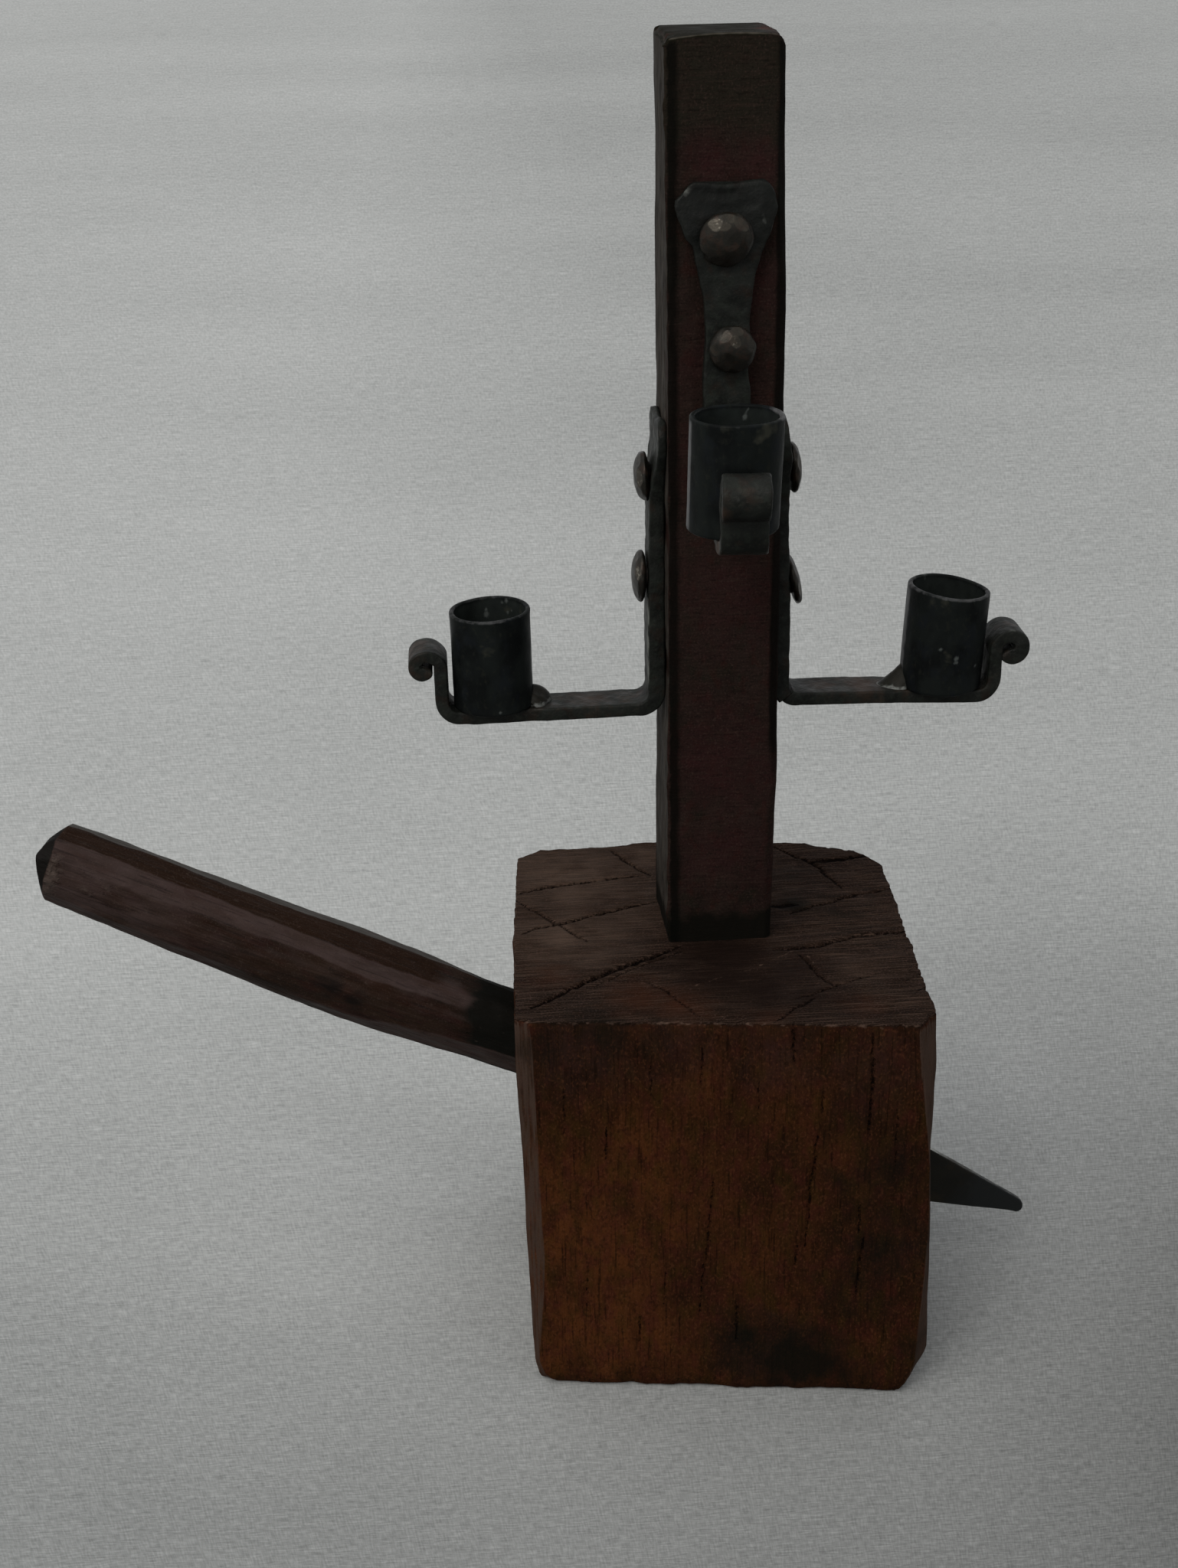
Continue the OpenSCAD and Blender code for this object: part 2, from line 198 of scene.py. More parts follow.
# old hewn softwood, dark with age and smoke: an even orange brown with a fine speckle, thin dark checks,
# and a sawn top with fine lines across it
blockLook = {
    "coats": [
        {"colour": "#29160b"},
        {"colour": "#1d1208", "size": (22, 22, 40), "range": (0.42, 0.64), "amount": 0.5},
        {"colour": "#472712", "on": "warm", "size": (12, 12, 20), "spread": 1.6, "range": (0.1, 1.2), "amount": 0.95},
        {"colour": "#371812", "size": (5, 5, 7), "range": (0.46, 0.62), "amount": 0.55, "seed": 2, "detail": 5},
        {"colour": "#2c2009", "size": (4.2, 4.2, 9), "range": (0.48, 0.64), "amount": 0.45, "seed": 3, "detail": 5},
        {"colour": "#2c1c18", "on": "mauve", "size": (5, 5, 8), "spread": 1.2, "range": (0.2, 1.1), "amount": 0.8, "seed": 19, "detail": 4},
        {"colour": "#170d07", "size": (7, 7, 14), "range": (0.50, 0.68), "amount": 0.42, "seed": 18, "detail": 5},
        {"colour": "#110803", "size": (0.8, 0.8, 15), "range": (0.56, 0.70), "amount": 0.68, "seed": 5},
        {"colour": "#140a04", "size": (1.0, 1.0, 1.6), "range": (0.50, 0.66), "amount": 0.45, "seed": 4, "detail": 2},
        {"colour": "#5c3823", "size": (0.7, 0.7, 1.1), "range": (0.54, 0.74), "amount": 0.3, "seed": 6, "detail": 1},
        {"colour": "#1c130e", "on": "top", "range": (0.4, 0.9), "amount": 1.0},
        # painted sheen: a pale grey mauve over the top, strongest towards its left and back
        {"colour": "#4b3d34", "on": "paintedSheen", "size": (14, 9, 9), "spread": 0.6, "range": (0.15, 1.1), "amount": 0.95, "seed": 16},
        {"colour": "#271b13", "on": "top", "size": (9, 6, 9), "spread": 2.0, "range": (0.98, 1.26), "amount": 0.5, "seed": 7, "detail": 4},
        {"colour": "#19110b", "on": "top", "size": (11, 9, 9), "spread": 2.0, "range": (1.0, 1.3), "amount": 0.35, "seed": 8, "detail": 4},
        {"colour": "#0e0906", "on": "top", "size": (16, 0.36, 9), "spread": 2.0, "range": (1.0, 1.3), "amount": 0.6, "seed": 9, "detail": 2},
        {"colour": "#5c4a3f", "on": "top", "size": (14, 0.34, 9), "spread": 2.0, "range": (1.0, 1.4), "amount": 0.42, "seed": 10, "detail": 2},
        {"colour": "#54413a", "on": "top", "size": (0.6, 0.5, 0.6), "spread": 2.0, "range": (1.05, 1.5), "amount": 0.45, "seed": 17, "detail": 1},
        {"colour": "#381e12", "on": "topWarm", "size": (6, 4, 6), "spread": 0.9, "range": (0.1, 1.1), "amount": 0.7, "seed": 11},
        # painted sheen: pale grey over the left face strip, seen edge-on, and along the right arris strip
        {"colour": "#3f322b", "on": "grey", "size": (0.9, 0.9, 14), "spread": 1.6, "range": (0.45, 0.9), "amount": 0.9, "seed": 12},
        {"colour": "#160e0b", "on": "shadow", "size": (9, 5, 9), "spread": 0.7, "range": (0.1, 0.9), "amount": 0.85, "seed": 20, "detail": 4},
        # stains on the front, and painted shade over the front's right third and on the top behind the post
        {"colour": "#0f0e0a", "on": "stainAndShade", "size": (6, 6, 9), "spread": 1.3, "range": (0.25, 1.05), "amount": 0.9, "seed": 13, "detail": 5},
        {"colour": "#665247", "on": "wearAndSheen", "size": (2.2, 1.6, 1.6), "spread": 2.2, "range": (0.85, 1.4), "amount": 0.7, "seed": 14},
        {"colour": "#070403", "on": "crack", "size": (0.9, 0.9, 1.4), "spread": 1.7, "range": (0.55, 0.95), "amount": 0.9, "seed": 15, "detail": 2},
    ],
    "relief": [
        {"on": "side", "size": (1.0, 1.0, 30), "spread": 1.0, "range": (0.7, 1.3), "height": 0.22},
        {"size": (8, 8, 26), "height": 0.7, "seed": 4},
        {"on": "top", "size": (10, 0.42, 9), "spread": 1.0, "range": (0.7, 1.3), "height": 0.3, "seed": 9, "detail": 2},
        {"size": (0.6, 0.6, 0.9), "height": 0.16, "seed": 5, "detail": 2},
        {"on": "crack", "size": (0.9, 0.9, 1.4), "spread": 1.7, "range": (0.5, 1.0), "height": -0.5, "seed": 15, "detail": 2},
    ],
    "gloss": {"size": (12, 12, 20), "low": 0.65, "high": 0.85},
    "shader": {"Specular IOR Level": 0.025},
}
# hewn post of close-grained wood, nearly black with a red tone and a fine cross grain, waxy from handling, with a
# painted grey sheen on its left face
postLook = {
    "coats": [
        {"colour": "#231c18"},
        {"colour": "#17120f", "size": (12, 12, 22), "range": (0.42, 0.62), "amount": 0.55},
        {"colour": "#151a12", "size": (5, 5, 6), "range": (0.52, 0.64), "amount": 0.5, "seed": 2, "detail": 4},
        {"colour": "#2a1410", "size": (4, 4, 5), "range": (0.52, 0.66), "amount": 0.45, "seed": 16, "detail": 4},
        {"colour": "#201d17", "on": "olive", "size": (6, 6, 6), "spread": 1.0, "range": (0.2, 0.9), "amount": 0.8, "seed": 12},
        {"colour": "#2c1818", "on": "red", "size": (6, 6, 7), "spread": 1.0, "range": (0.1, 1.1), "amount": 0.9, "seed": 6, "detail": 4},
        {"colour": "#2e231e", "size": (7, 7, 0.8), "range": (0.52, 0.70), "amount": 0.45, "seed": 3},
        {"colour": "#0b0807", "size": (6, 6, 0.7), "range": (0.54, 0.70), "amount": 0.45, "seed": 4},
        {"colour": "#0c0908", "size": (0.7, 0.7, 0.7), "range": (0.54, 0.68), "amount": 0.35, "seed": 13, "detail": 1},
        {"colour": "#453530", "size": (0.6, 0.6, 0.6), "range": (0.55, 0.75), "amount": 0.3, "seed": 5, "detail": 1},
        # painted sheen on the left face, seen edge-on
        {"colour": "#322e2a", "on": "left", "size": (5, 5, 8), "spread": 1.0, "range": (0.3, 0.8), "amount": 0.95, "seed": 14},
        {"colour": "#46423c", "on": "left", "size": (5, 4, 9), "spread": 2.0, "range": (0.95, 1.4), "amount": 0.6, "seed": 18, "detail": 4},
        {"colour": "#151311", "on": "left", "size": (5, 4, 9), "spread": 2.0, "range": (0.95, 1.35), "amount": 0.7, "seed": 19, "detail": 4},
        # darker at the foot, just above the block
        {"colour": "#100f0c", "on": "stainAndShade", "size": (6, 6, 8), "spread": 0.8, "range": (0.2, 0.8), "amount": 0.95, "seed": 7},
        {"colour": "#090907", "on": "bevel", "size": (3, 3, 10), "spread": 0.8, "range": (0.2, 0.8), "amount": 0.85, "seed": 8},
        {"colour": "#15140d", "on": "cap", "size": (5, 5, 5), "spread": 0.8, "range": (0.2, 0.7), "amount": 0.95, "seed": 9},
        {"colour": "#3a1a12", "on": "ember", "size": (2.5, 2.5, 2.5), "spread": 1.4, "range": (0.3, 1.0), "amount": 0.75, "seed": 10},
        {"colour": "#4d4942", "on": "wearAndSheen", "size": (3, 3, 5), "spread": 1.0, "range": (0.4, 1.0), "amount": 0.75, "seed": 11},
    ],
    "relief": [
        {"size": (9, 9, 0.9), "height": 0.10, "seed": 4},
        {"on": "left", "size": (4, 4, 12), "spread": 1.0, "range": (0.6, 1.4), "height": 1.1, "seed": 15},
        {"size": (6, 6, 16), "height": 0.7, "seed": 5},
        {"size": (0.5, 0.5, 0.6), "height": 0.07, "seed": 6},
    ],
    "gloss": {"size": (8, 8, 16), "low": 0.55, "high": 0.75},
    "shader": {"Specular IOR Level": 0.02},
}
# hewn handle: painted mauve and grey sheen on the facets that face the light, orange on one facet, and black-green
# towards the block
handleLook = {
    "turn": (0, -toolSlope, 0),
    "coats": [
        {"colour": "#251912"},
        {"colour": "#150e0a", "size": (40, 9, 9), "range": (0.42, 0.62), "amount": 0.6},
        {"colour": "#2b1810", "size": (18, 5, 5), "range": (0.48, 0.64), "amount": 0.6, "seed": 1, "detail": 5},
        {"colour": "#261210", "size": (10, 4, 4), "range": (0.52, 0.64), "amount": 0.5, "seed": 2, "detail": 4},
        # painted sheen on the facets that face the light
        {"colour": "#403432", "on": "tone", "size": (10, 3, 3), "spread": 1.1, "range": (0.2, 1.0), "amount": 0.9, "seed": 3},
        # painted grey sheen on the top strip and on the bottom strip towards the block
        {"colour": "#403f3b", "on": "grey", "size": (8, 2, 2), "spread": 1.2, "range": (0.35, 1.1), "amount": 0.85, "seed": 12},
        {"colour": "#1d0e04", "on": "warm", "size": (14, 4, 4), "spread": 0.7, "range": (0.25, 0.8), "amount": 0.95, "seed": 4},
        {"colour": "#40332d", "size": (20, 0.8, 0.8), "range": (0.54, 0.72), "amount": 0.25, "seed": 5},
        {"colour": "#0b0807", "size": (16, 0.7, 0.7), "range": (0.55, 0.70), "amount": 0.5, "seed": 6},
        {"colour": "#54463e", "size": (0.5, 0.5, 0.5), "range": (0.56, 0.75), "amount": 0.22, "seed": 7, "detail": 1},
        {"colour": "#100c0a", "on": "dark", "size": (6, 3, 3), "spread": 1.4, "range": (0.3, 0.9), "amount": 0.85, "seed": 11},
        {"colour": "#0c0d0a", "on": "stainAndShade", "size": (6, 4, 4), "spread": 0.8, "range": (0.15, 0.85), "amount": 0.93, "seed": 8},
        {"colour": "#4f453f", "on": "wearAndSheen", "size": (2.6, 1.6, 1.6), "spread": 2.0, "range": (0.3, 1.15), "amount": 0.7, "seed": 9},
        {"colour": "#0c0b09", "on": "end", "size": (3, 3, 3), "spread": 0.6, "range": (0.3, 0.7), "amount": 0.95, "seed": 10},
    ],
    "relief": [
        {"size": (24, 1.1, 1.1), "height": 0.28},
        {"size": (16, 5, 5), "height": 0.9, "seed": 4},
        {"size": (1.0, 0.5, 0.5), "height": 0.09, "seed": 5},
        {"on": "wearAndSheen", "size": (2.0, 1.4, 1.4), "spread": 2.4, "range": (0.4, 1.2), "height": 0.5, "seed": 9},
    ],
    "gloss": {"size": (14, 6, 6), "low": 0.5, "high": 0.72},
    "shader": {"Specular IOR Level": 0.07},
}
# forged mild steel strap under black fire scale: dull green-black, hammered, browned in places, bare on a few high
# spots, with painted highlights and sheen on the curls, the edges and the left strap's outer face, and painted shade
# under the front curl
strapLook = {
    "coats": [
        {"colour": "#1b1d1a"},
        {"colour": "#0d0e0c", "size": (7, 7, 7), "range": (0.42, 0.60), "amount": 0.7},
        {"colour": "#20241f", "size": (2.6, 2.6, 2.6), "range": (0.50, 0.66), "amount": 0.7, "seed": 1, "detail": 5},
        {"colour": "#211711", "size": (5, 5, 5), "range": (0.54, 0.66), "amount": 0.5, "seed": 2, "detail": 4},
        {"colour": "#3b3733", "size": (0.7, 0.7, 0.7), "range": (0.58, 0.76), "amount": 0.22, "seed": 3, "detail": 1},
        {"colour": "#36281f", "on": "brown", "size": (4, 4, 4), "spread": 1.4, "range": (0.3, 1.0), "amount": 0.85, "seed": 4},
        # soot, and painted shade on the lower half of the front curl
        {"colour": "#0a0c0a", "on": "sootAndShade", "size": (4, 4, 4), "spread": 1.2, "range": (0.1, 0.9), "amount": 0.8, "seed": 7},
        {"colour": "#0a0b09", "on": "dent", "size": (3, 3, 3), "spread": 0.8, "range": (0.3, 0.8), "amount": 0.85, "seed": 6},
        # a few bare spots, and painted highlights and sheen on the curls, the edges and the left strap's outer face
        {"colour": "#6b6d68", "on": "wearAndSheen", "size": (2.4, 2.4, 2.4), "spread": 1.2, "range": (0.4, 1.2), "amount": 0.8, "seed": 5},
    ],
    "relief": [
        {"size": (3.2, 3.2, 3.2), "height": 0.42, "detail": 3},
        {"size": (0.9, 0.9, 0.9), "height": 0.09, "seed": 4},
    ],
    "gloss": {"size": (4, 4, 4), "low": 0.42, "high": 0.64},
    "shader": {"Metallic": 0.12, "Specular IOR Level": 0.14},
}
# drawn steel tube, blackened: smoother than the straps, with painted reflections as pale lines along its sides and rim,
# its inner wall painted paler against its shade, and drips of old wax
cupLook = {
    "coats": [
        {"colour": "#171a19"},
        {"colour": "#0a0b0c", "size": (9, 9, 14), "range": (0.42, 0.60), "amount": 0.7},
        {"colour": "#171a1d", "size": (6, 6, 8), "range": (0.52, 0.66), "amount": 0.6, "seed": 1, "detail": 4},
        {"colour": "#23241f", "size": (1.4, 1.4, 1.8), "range": (0.56, 0.72), "amount": 0.4, "seed": 2, "detail": 3},
        # painted light: the inner wall is made paler, against its shade
        {"colour": "#262a28", "on": "inside", "size": (3, 3, 5), "spread": 1.2, "range": (0.3, 1.3), "amount": 0.8, "seed": 6},
        {"colour": "#35352e", "on": "smudge", "size": (2.4, 2.4, 1.8), "spread": 1.6, "range": (0.4, 1.1), "amount": 0.75, "seed": 3},
        # painted reflections along the sides and round the rim
        {"colour": "#5d5d5e", "on": "wearAndSheen", "size": (1.6, 1.6, 3), "spread": 0.9, "range": (0.35, 1.1), "amount": 0.9, "seed": 4},
        {"colour": "#4c504e", "on": "wax", "size": (1.0, 1.0, 1.6), "spread": 1.0, "range": (0.2, 0.8), "amount": 0.85, "seed": 5},
    ],
    "relief": [
        {"size": (4, 4, 7), "height": 0.14, "detail": 3},
        {"size": (0.7, 0.7, 0.7), "height": 0.04, "seed": 4},
    ],
    "gloss": {"size": (5, 5, 5), "low": 0.36, "high": 0.52},
    "shader": {"Metallic": 0.0, "Specular IOR Level": 0.03},
}
# weld metal left as it set, sooted over: olive grey like the strap, with bright chips along its foot
weldLook = {
    "coats": [
        {"colour": "#1b1a15"},
        {"colour": "#201c16", "size": (2.4, 2.4, 2.4), "range": (0.50, 0.64), "amount": 0.4, "seed": 1},
        {"colour": "#0f100e", "size": (2.0, 2.0, 2.0), "range": (0.52, 0.66), "amount": 0.5, "seed": 2},
        {"colour": "#6f716e", "on": "chips", "size": (1.4, 1.4, 1.1), "spread": 1.8, "range": (0.6, 1.1), "amount": 0.85, "seed": 3},
    ],
    "relief": [{"size": (1.8, 1.8, 1.8), "height": 0.16}, {"size": (0.5, 0.5, 0.5), "height": 0.05, "seed": 4}],
    "gloss": {"size": (3, 3, 3), "low": 0.42, "high": 0.6},
    "shader": {"Metallic": 0.12, "Specular IOR Level": 0.14},
}
# forged nail heads: soft hammer facets above a dark rim, with painted highlights on the facets that face up to the
# light and painted shade over the lower part of each head
nailLook = {
    "coats": [
        {"colour": "#1d1b16"},
        {"colour": "#15130f", "size": (5, 5, 5), "range": (0.44, 0.62), "amount": 0.5},
        {"colour": "#2a2720", "size": (3, 3, 3), "range": (0.50, 0.66), "amount": 0.5, "seed": 1, "detail": 4},
        {"colour": "#2f2119", "size": (2.4, 2.4, 2.4), "range": (0.50, 0.64), "amount": 0.6, "seed": 2},
        # painted highlights on the facets that face up to the light
        {"colour": "#403b32", "on": "paintedHighlight", "size": (2.2, 2.2, 2.2), "spread": 1.4, "range": (0.2, 1.3), "amount": 0.8, "seed": 3},
        {"colour": "#16120d", "on": "shade", "size": (3, 3, 3), "spread": 0.8, "range": (0.2, 1.0), "amount": 0.8, "seed": 5},
        # painted glints on the brightest facets
        {"colour": "#8d887c", "on": "paintedHighlight", "size": (1.0, 1.0, 1.0), "spread": 2.4, "range": (1.25, 1.8), "amount": 0.7, "seed": 6, "detail": 1},
    ],
    "relief": [
        {"size": (1.6, 1.6, 1.6), "height": 0.09},
        {"size": (0.6, 0.6, 0.6), "height": 0.05, "seed": 4},
    ],
    "gloss": {"size": (3, 3, 3), "low": 0.34, "high": 0.5},
    "shader": {"Metallic": 0.5, "Specular IOR Level": 0.35},
}
# flat ground blade, browned: olive, a little bluer towards its tip, with a painted highlight along the thin top edge
bladeLook = {
    "turn": (0, -toolSlope, 0),
    "coats": [
        {"colour": "#1a1812"},
        {"colour": "#12110e", "size": (12, 7, 7), "range": (0.42, 0.60), "amount": 0.6},
        {"colour": "#272117", "size": (7, 4, 4), "range": (0.52, 0.64), "amount": 0.5, "seed": 1, "detail": 4},
        {"colour": "#1d2021", "on": "tip", "size": (6, 6, 6), "spread": 0.8, "range": (0.3, 0.8), "amount": 0.85},
        # painted highlight along the top edge
        {"colour": "#a9aba6", "on": "wearAndSheen", "size": (6, 2, 2), "spread": 0.8, "range": (0.4, 1.0), "amount": 0.85},
    ],
    "relief": [
        {"size": (7, 4, 4), "height": 0.2},
        {"size": (0.9, 0.9, 0.9), "height": 0.05, "seed": 4},
    ],
    "gloss": {"size": (8, 8, 8), "low": 0.42, "high": 0.58},
    "shader": {"Metallic": 0.3, "Specular IOR Level": 0.25},
}
agedBlockWood = makeFinish("aged hewn pine", blockLook)
agedPostWood = makeFinish("smoked hewn post wood", postLook)
handleWood = makeFinish("hand worn hewn wood", handleLook)
forgedIron = makeFinish("forged iron with fire scale", strapLook)
blackTube = makeFinish("blackened steel tube", cupLook)
weldMetal = makeFinish("weld metal", weldLook)
nailIron = makeFinish("burnished nail iron", nailLook)
bladeIron = makeFinish("browned blade iron", bladeLook)
print("materials made")


block = {
    # each upright line of the hewn sides as (height, x, y), from the floor up, and the steps to the next line
    "lines": [
        ("leftSilhouette", 6, [(0, -65.6, -57.6), (8, -67.2, -59), (40, -67.7, -59), (88, -68.2, -59), (122, -69.2, -59), (141, -69.3, -58.9)]),
        ("leftArris", 206, [(0, -60.6, -60.2), (4, -63.8, -61.0), (9, -65.4, -61.4), (16, -65.2, -61.5), (35, -63.6, -61.7), (54, -62.8, -61.8), (72, -63.5, -61.7), (106, -63.9, -61.7), (134, -64.5, -61.6), (141, -65.1, -61.5)]),
        ("rightArris", 6, [(0, 51.0, -75.2), (5, 54.2, -76.2), (13, 56.7, -76.5), (38, 58, -76.7), (64, 58.6, -76.7), (90, 57.9, -76.6), (103, 56.6, -76.5), (114, 55.2, -76.4), (125, 53.6, -76.2), (141, 52.4, -76.0)]),
        ("rightSilhouette", 54, [(0, 55.0, -69), (4, 57.0, -70), (12, 60.2, -71.6), (16, 61.4, -72), (46, 60.7, -72.5), (64, 59.9, -73), (99, 58.4, -73), (111, 58.8, -72), (125, 59.2, -71), (141, 59.2, -69)]),
        ("right1", 58, [(0, 61.4, -34), (141, 60.3, -34.4)]),
        ("right2", 36, [(0, 62.6, 2.4), (141, 61.8, 2.4)]),
        ("right3", 46, [(0, 63, 19.4), (141, 62.4, 19.4)]),
        ("backRight", 10, [(0, 62.9, 38), (100, 62.7, 36), (141, 62.2, 31.2)]),
        ("back1", 6, [(0, 60, 46), (100, 59.6, 43.5), (141, 58.1, 40.8)]),
        ("back2", 22, [(0, 55.5, 50), (100, 55.4, 48), (141, 55.2, 44.2)]),
        ("back3", 6, [(0, 42, 53.2), (100, 42.8, 52), (141, 42.8, 48.7)]),
        ("back4", 108, [(0, 38, 53.6), (141, 39, 52.2)]),
        ("back5", 12, [(0, -22, 59), (141, -22.4, 59.1)]),
        ("back6", 44, [(0, -30, 57.2), (141, -29.2, 56.8)]),
        ("back7", 10, [(0, -54, 56.4), (141, -55.6, 56.6)]),
        ("backLeft", 20, [(0, -62.5, 51), (141, -64, 51.4)]),
        ("left1", 56, [(0, -63.5, 39.4), (141, -65, 39.4)]),
        ("left2", 46, [(0, -65, 5.5), (141, -66.8, 5.5)]),
        ("left3", 72, [(0, -66, -20.6), (141, -68.3, -20.6)]),
    ],
    "corners": (0, 3, 7, 15),        # lines at which the four sides of the top's grid begin
    "rows": 56,
    "topRound": 0.7, "footRound": 1.6,
    # cracks in the top as (half width, depth, points)
    "topCracks": [
        (0.60, 1.4, [(-66, 23.3), (-56.5, 27), (-47.1, 29.3), (-39.2, 30.5), (-31.2, 31.7), (-22.5, 33)]),
        (0.42, 1.0, [(-66, 18.6), (-58.9, 9), (-53.3, 1.3), (-48.5, -5.8), (-43.8, -13.1)]),
        (0.55, 1.3, [(-64.4, -5.6), (-58.7, -1.5), (-53.4, 0.4), (-47.2, 2.3), (-39.4, 5.9), (-31.6, 8.3), (-25.3, 11.2), (-18.2, 12.9)]),
        (0.70, 1.8, [(-64, -53), (-57.4, -48), (-51.5, -42.9), (-45.5, -38.4), (-39.5, -34.2), (-33.4, -30.5), (-27.3, -26.9), (-21.2, -24), (-14.1, -19.3)]),
        (0.25, 0.6, [(-43.7, -42.5), (-35.3, -35.8), (-26, -29.3), (-13.7, -22.4)]),
        (0.50, 1.1, [(-30.4, 53), (-26.2, 44.5), (-22.7, 38.8), (-18.6, 32.4)]),
        (0.50, 1.1, [(27.2, 50.5), (33.5, 42.1), (40.1, 33.5), (42, 26.3), (45.5, 15.7)]),
        (0.90, 1.2, [(39, 36.2), (45.6, 37.5), (52.1, 38.2), (58.3, 39.2)]),
        (0.45, 1.2, [(25, -1.1), (33.4, 3.8), (41.6, 6.8), (50.1, 11.1), (56.5, 11.8), (63, 14)]),
        (0.90, 0.7, [(18.5, 4.6), (28.6, 4.6)]),
        (0.55, 1.4, [(15.3, -24.9), (22.6, -24.8), (28.6, -24), (36.5, -21.2), (44.5, -18), (53.6, -17.5), (62, -17.1)]),
        (0.38, 0.9, [(22.9, -27.8), (25.5, -34), (27.1, -41.5), (30.7, -49)]),
        (0.32, 0.8, [(15.9, -57.1), (23.5, -53.8), (30.6, -49.8), (39.1, -46.2), (45.4, -43.4)]),
        (0.30, 0.6, [(-27.8, -39.9), (-22.1, -46.2), (-17.4, -55), (-12.8, -63.6)]),
        (0.35, 0.8, [(9.3, -69.5), (16.4, -62.6), (24.6, -55.8)]),
    ],
    # pale scratches in the top
    "scratches": [[(22.4, -26.3), (14.2, -31.9), (7.7, -36.5), (0.1, -39.2), (-6, -42.2), (-12, -45.3)],
                  [(-36, -37.2), (-26, -30.2), (-13.7, -23.6)], [(24, -24), (26.5, -31), (28.2, -40)]],
    # checks in the front face as (half width, depth, points in x and z)
    "frontCracks": [
        (0.30, 0.8, [(-12.8, 134), (-12.6, 126.6), (-12.8, 119.6)]), (0.32, 0.9, [(14.9, 141), (14.8, 135), (15.5, 125.6)]),
        (0.34, 1.1, [(38.3, 139), (39, 127), (39.1, 116), (38.7, 98)]), (0.28, 0.7, [(24.3, 118), (24.2, 108.5)]),
        (0.32, 1.0, [(23.5, 102), (22.1, 90.6), (21.2, 79), (20.7, 70.2), (20, 59.3)]),
        (0.32, 0.9, [(38.5, 63.6), (37, 49.6), (36.5, 37.5)]), (0.26, 0.7, [(36.7, 76), (36.9, 64.6)]),
        (0.26, 0.7, [(-42.1, 103), (-42.3, 91.9)]), (0.28, 0.8, [(-8.9, 83.9), (-10.5, 60.7), (-12.1, 45.6), (-13.1, 31.3)]),
        (0.28, 0.7, [(-1.3, 37.6), (-1.4, 20.6)]), (0.26, 0.7, [(17.4, 60.3), (17.5, 50.2)]), (0.28, 0.7, [(-32.7, 31.7), (-32.5, 16.7)]),
        (0.14, 0.4, [(-55, 118), (-55.2, 100)]), (0.14, 0.4, [(-28, 128), (-28.4, 114)]), (0.14, 0.4, [(5, 122), (4.6, 108)]),
        (0.14, 0.4, [(-24, 50), (-24.6, 32)]), (0.16, 0.5, [(47, 110), (47.4, 88)]), (0.14, 0.4, [(-49, 50), (-49.4, 30)]),
    ],
    # patches as (x, y, z, radius in mm, strength)
    "warm": [(-52, -62, 62, 54, 1.5), (-46, -62, 22, 46, 1.5), (-30, -64, 80, 46, 1.1), (-13, -67, 117, 20, 1.0), (12, -70, 112, 24, 0.8),
             (24, -72, 92, 26, 0.4), (4, -68, 55, 36, 0.7), (16, -71, 36, 18, 0.5), (36, -74, 20, 20, 0.3), (4, -69, 1, 16, 1.5), (20, -71, 1, 12, 1.4)],
    # painted sheen on the top, strongest towards its left and back
    "paintedSheen": [(-48, 34, 141, 42, 1.1), (-50, -8, 141, 38, 1.0), (-30, 10, 141, 30, 0.7), (-20, 50, 141, 26, 0.7), (40, -40, 141, 24, 0.45)],
    "topWarm": [(-30, -51, 141, 17, 1.0), (-18, -56, 141, 16, 1.0), (-57, -34, 141, 14, 0.6), (38, -62, 141, 12, 0.6), (8, -66, 141, 10, 0.7)],
    "shadow": [(0, -26, 141, 24, 1.3), (-4, -40, 141, 22, 1.1), (8, -50, 141, 24, 1.0), (18, -40, 141, 22, 0.9), (22, -56, 141, 22, 0.8), (-12, -30, 141, 18, 0.9)],
    "mauve": [(-50, -62, 128, 26, 1.1), (-20, -66, 132, 24, 0.9), (10, -70, 130, 26, 0.9), (40, -74, 126, 28, 0.9), (10, -70, 14, 30, 0.9), (52, -76, 60, 30, 0.5)],
    # stains, and painted shade on the top behind and right of the post and over the front's right third
    "stainAndShade": [(27, 5, 141, 11, 1.1), (0, 16, 141, 26, 1.1),
              (40, 0, 141, 26, 0.55), (30, 30, 141, 24, 0.45), (50, -22, 141, 20, 0.45), (60, -76, 60, 34, 0.6), (56, -76, 20, 30, 0.5), (36, -74, 110, 30, 0.45),
              (18, -71, 11, 29, 1.4), (2, -69, 20, 22, 1.1), (34, -74, 8, 18, 0.9), (45, -76, 60, 28, 1.0), (46, -76, 90, 26, 0.85), (36, -74, 40, 26, 0.75),
              (-44, -64, 137, 22, 0.75), (-28, -65, 137, 15, 0.65), (-60, -62, 132, 16, 0.8), (30, -73, 84, 10, 0.8)],
}


def crackDepth(flat, cracks, seed):
    # how deep each point lies in the cracks in mm, and a mark that falls evenly from 1 on a crack's line
    depth, mark = np.zeros(len(flat)), np.zeros(len(flat))
    for k, (half, deep, line) in enumerate(cracks):
        away, where = nearLine(flat, jagged(line, 1.6, 0.38, seed + k))
        length = np.linalg.norm(np.diff(np.array(line, float), axis=0), axis=1).sum()
        taper = np.sin(np.pi * np.clip(where, 0.03, 0.97)) ** 0.5
        vary = np.interp(where * length / 1.3, np.arange(200), np.random.default_rng(seed + 7 * k).uniform(0.45, 1.35, 200))
        wide = half * taper * vary
        depth = np.maximum(depth, deep * taper * np.exp(-(away / (0.25 + wide)) ** 2))
        mark = np.maximum(mark, (0.62 + half) * np.clip(1 - away / (0.55 + 1.7 * wide), 0, 1))
    return depth, mark


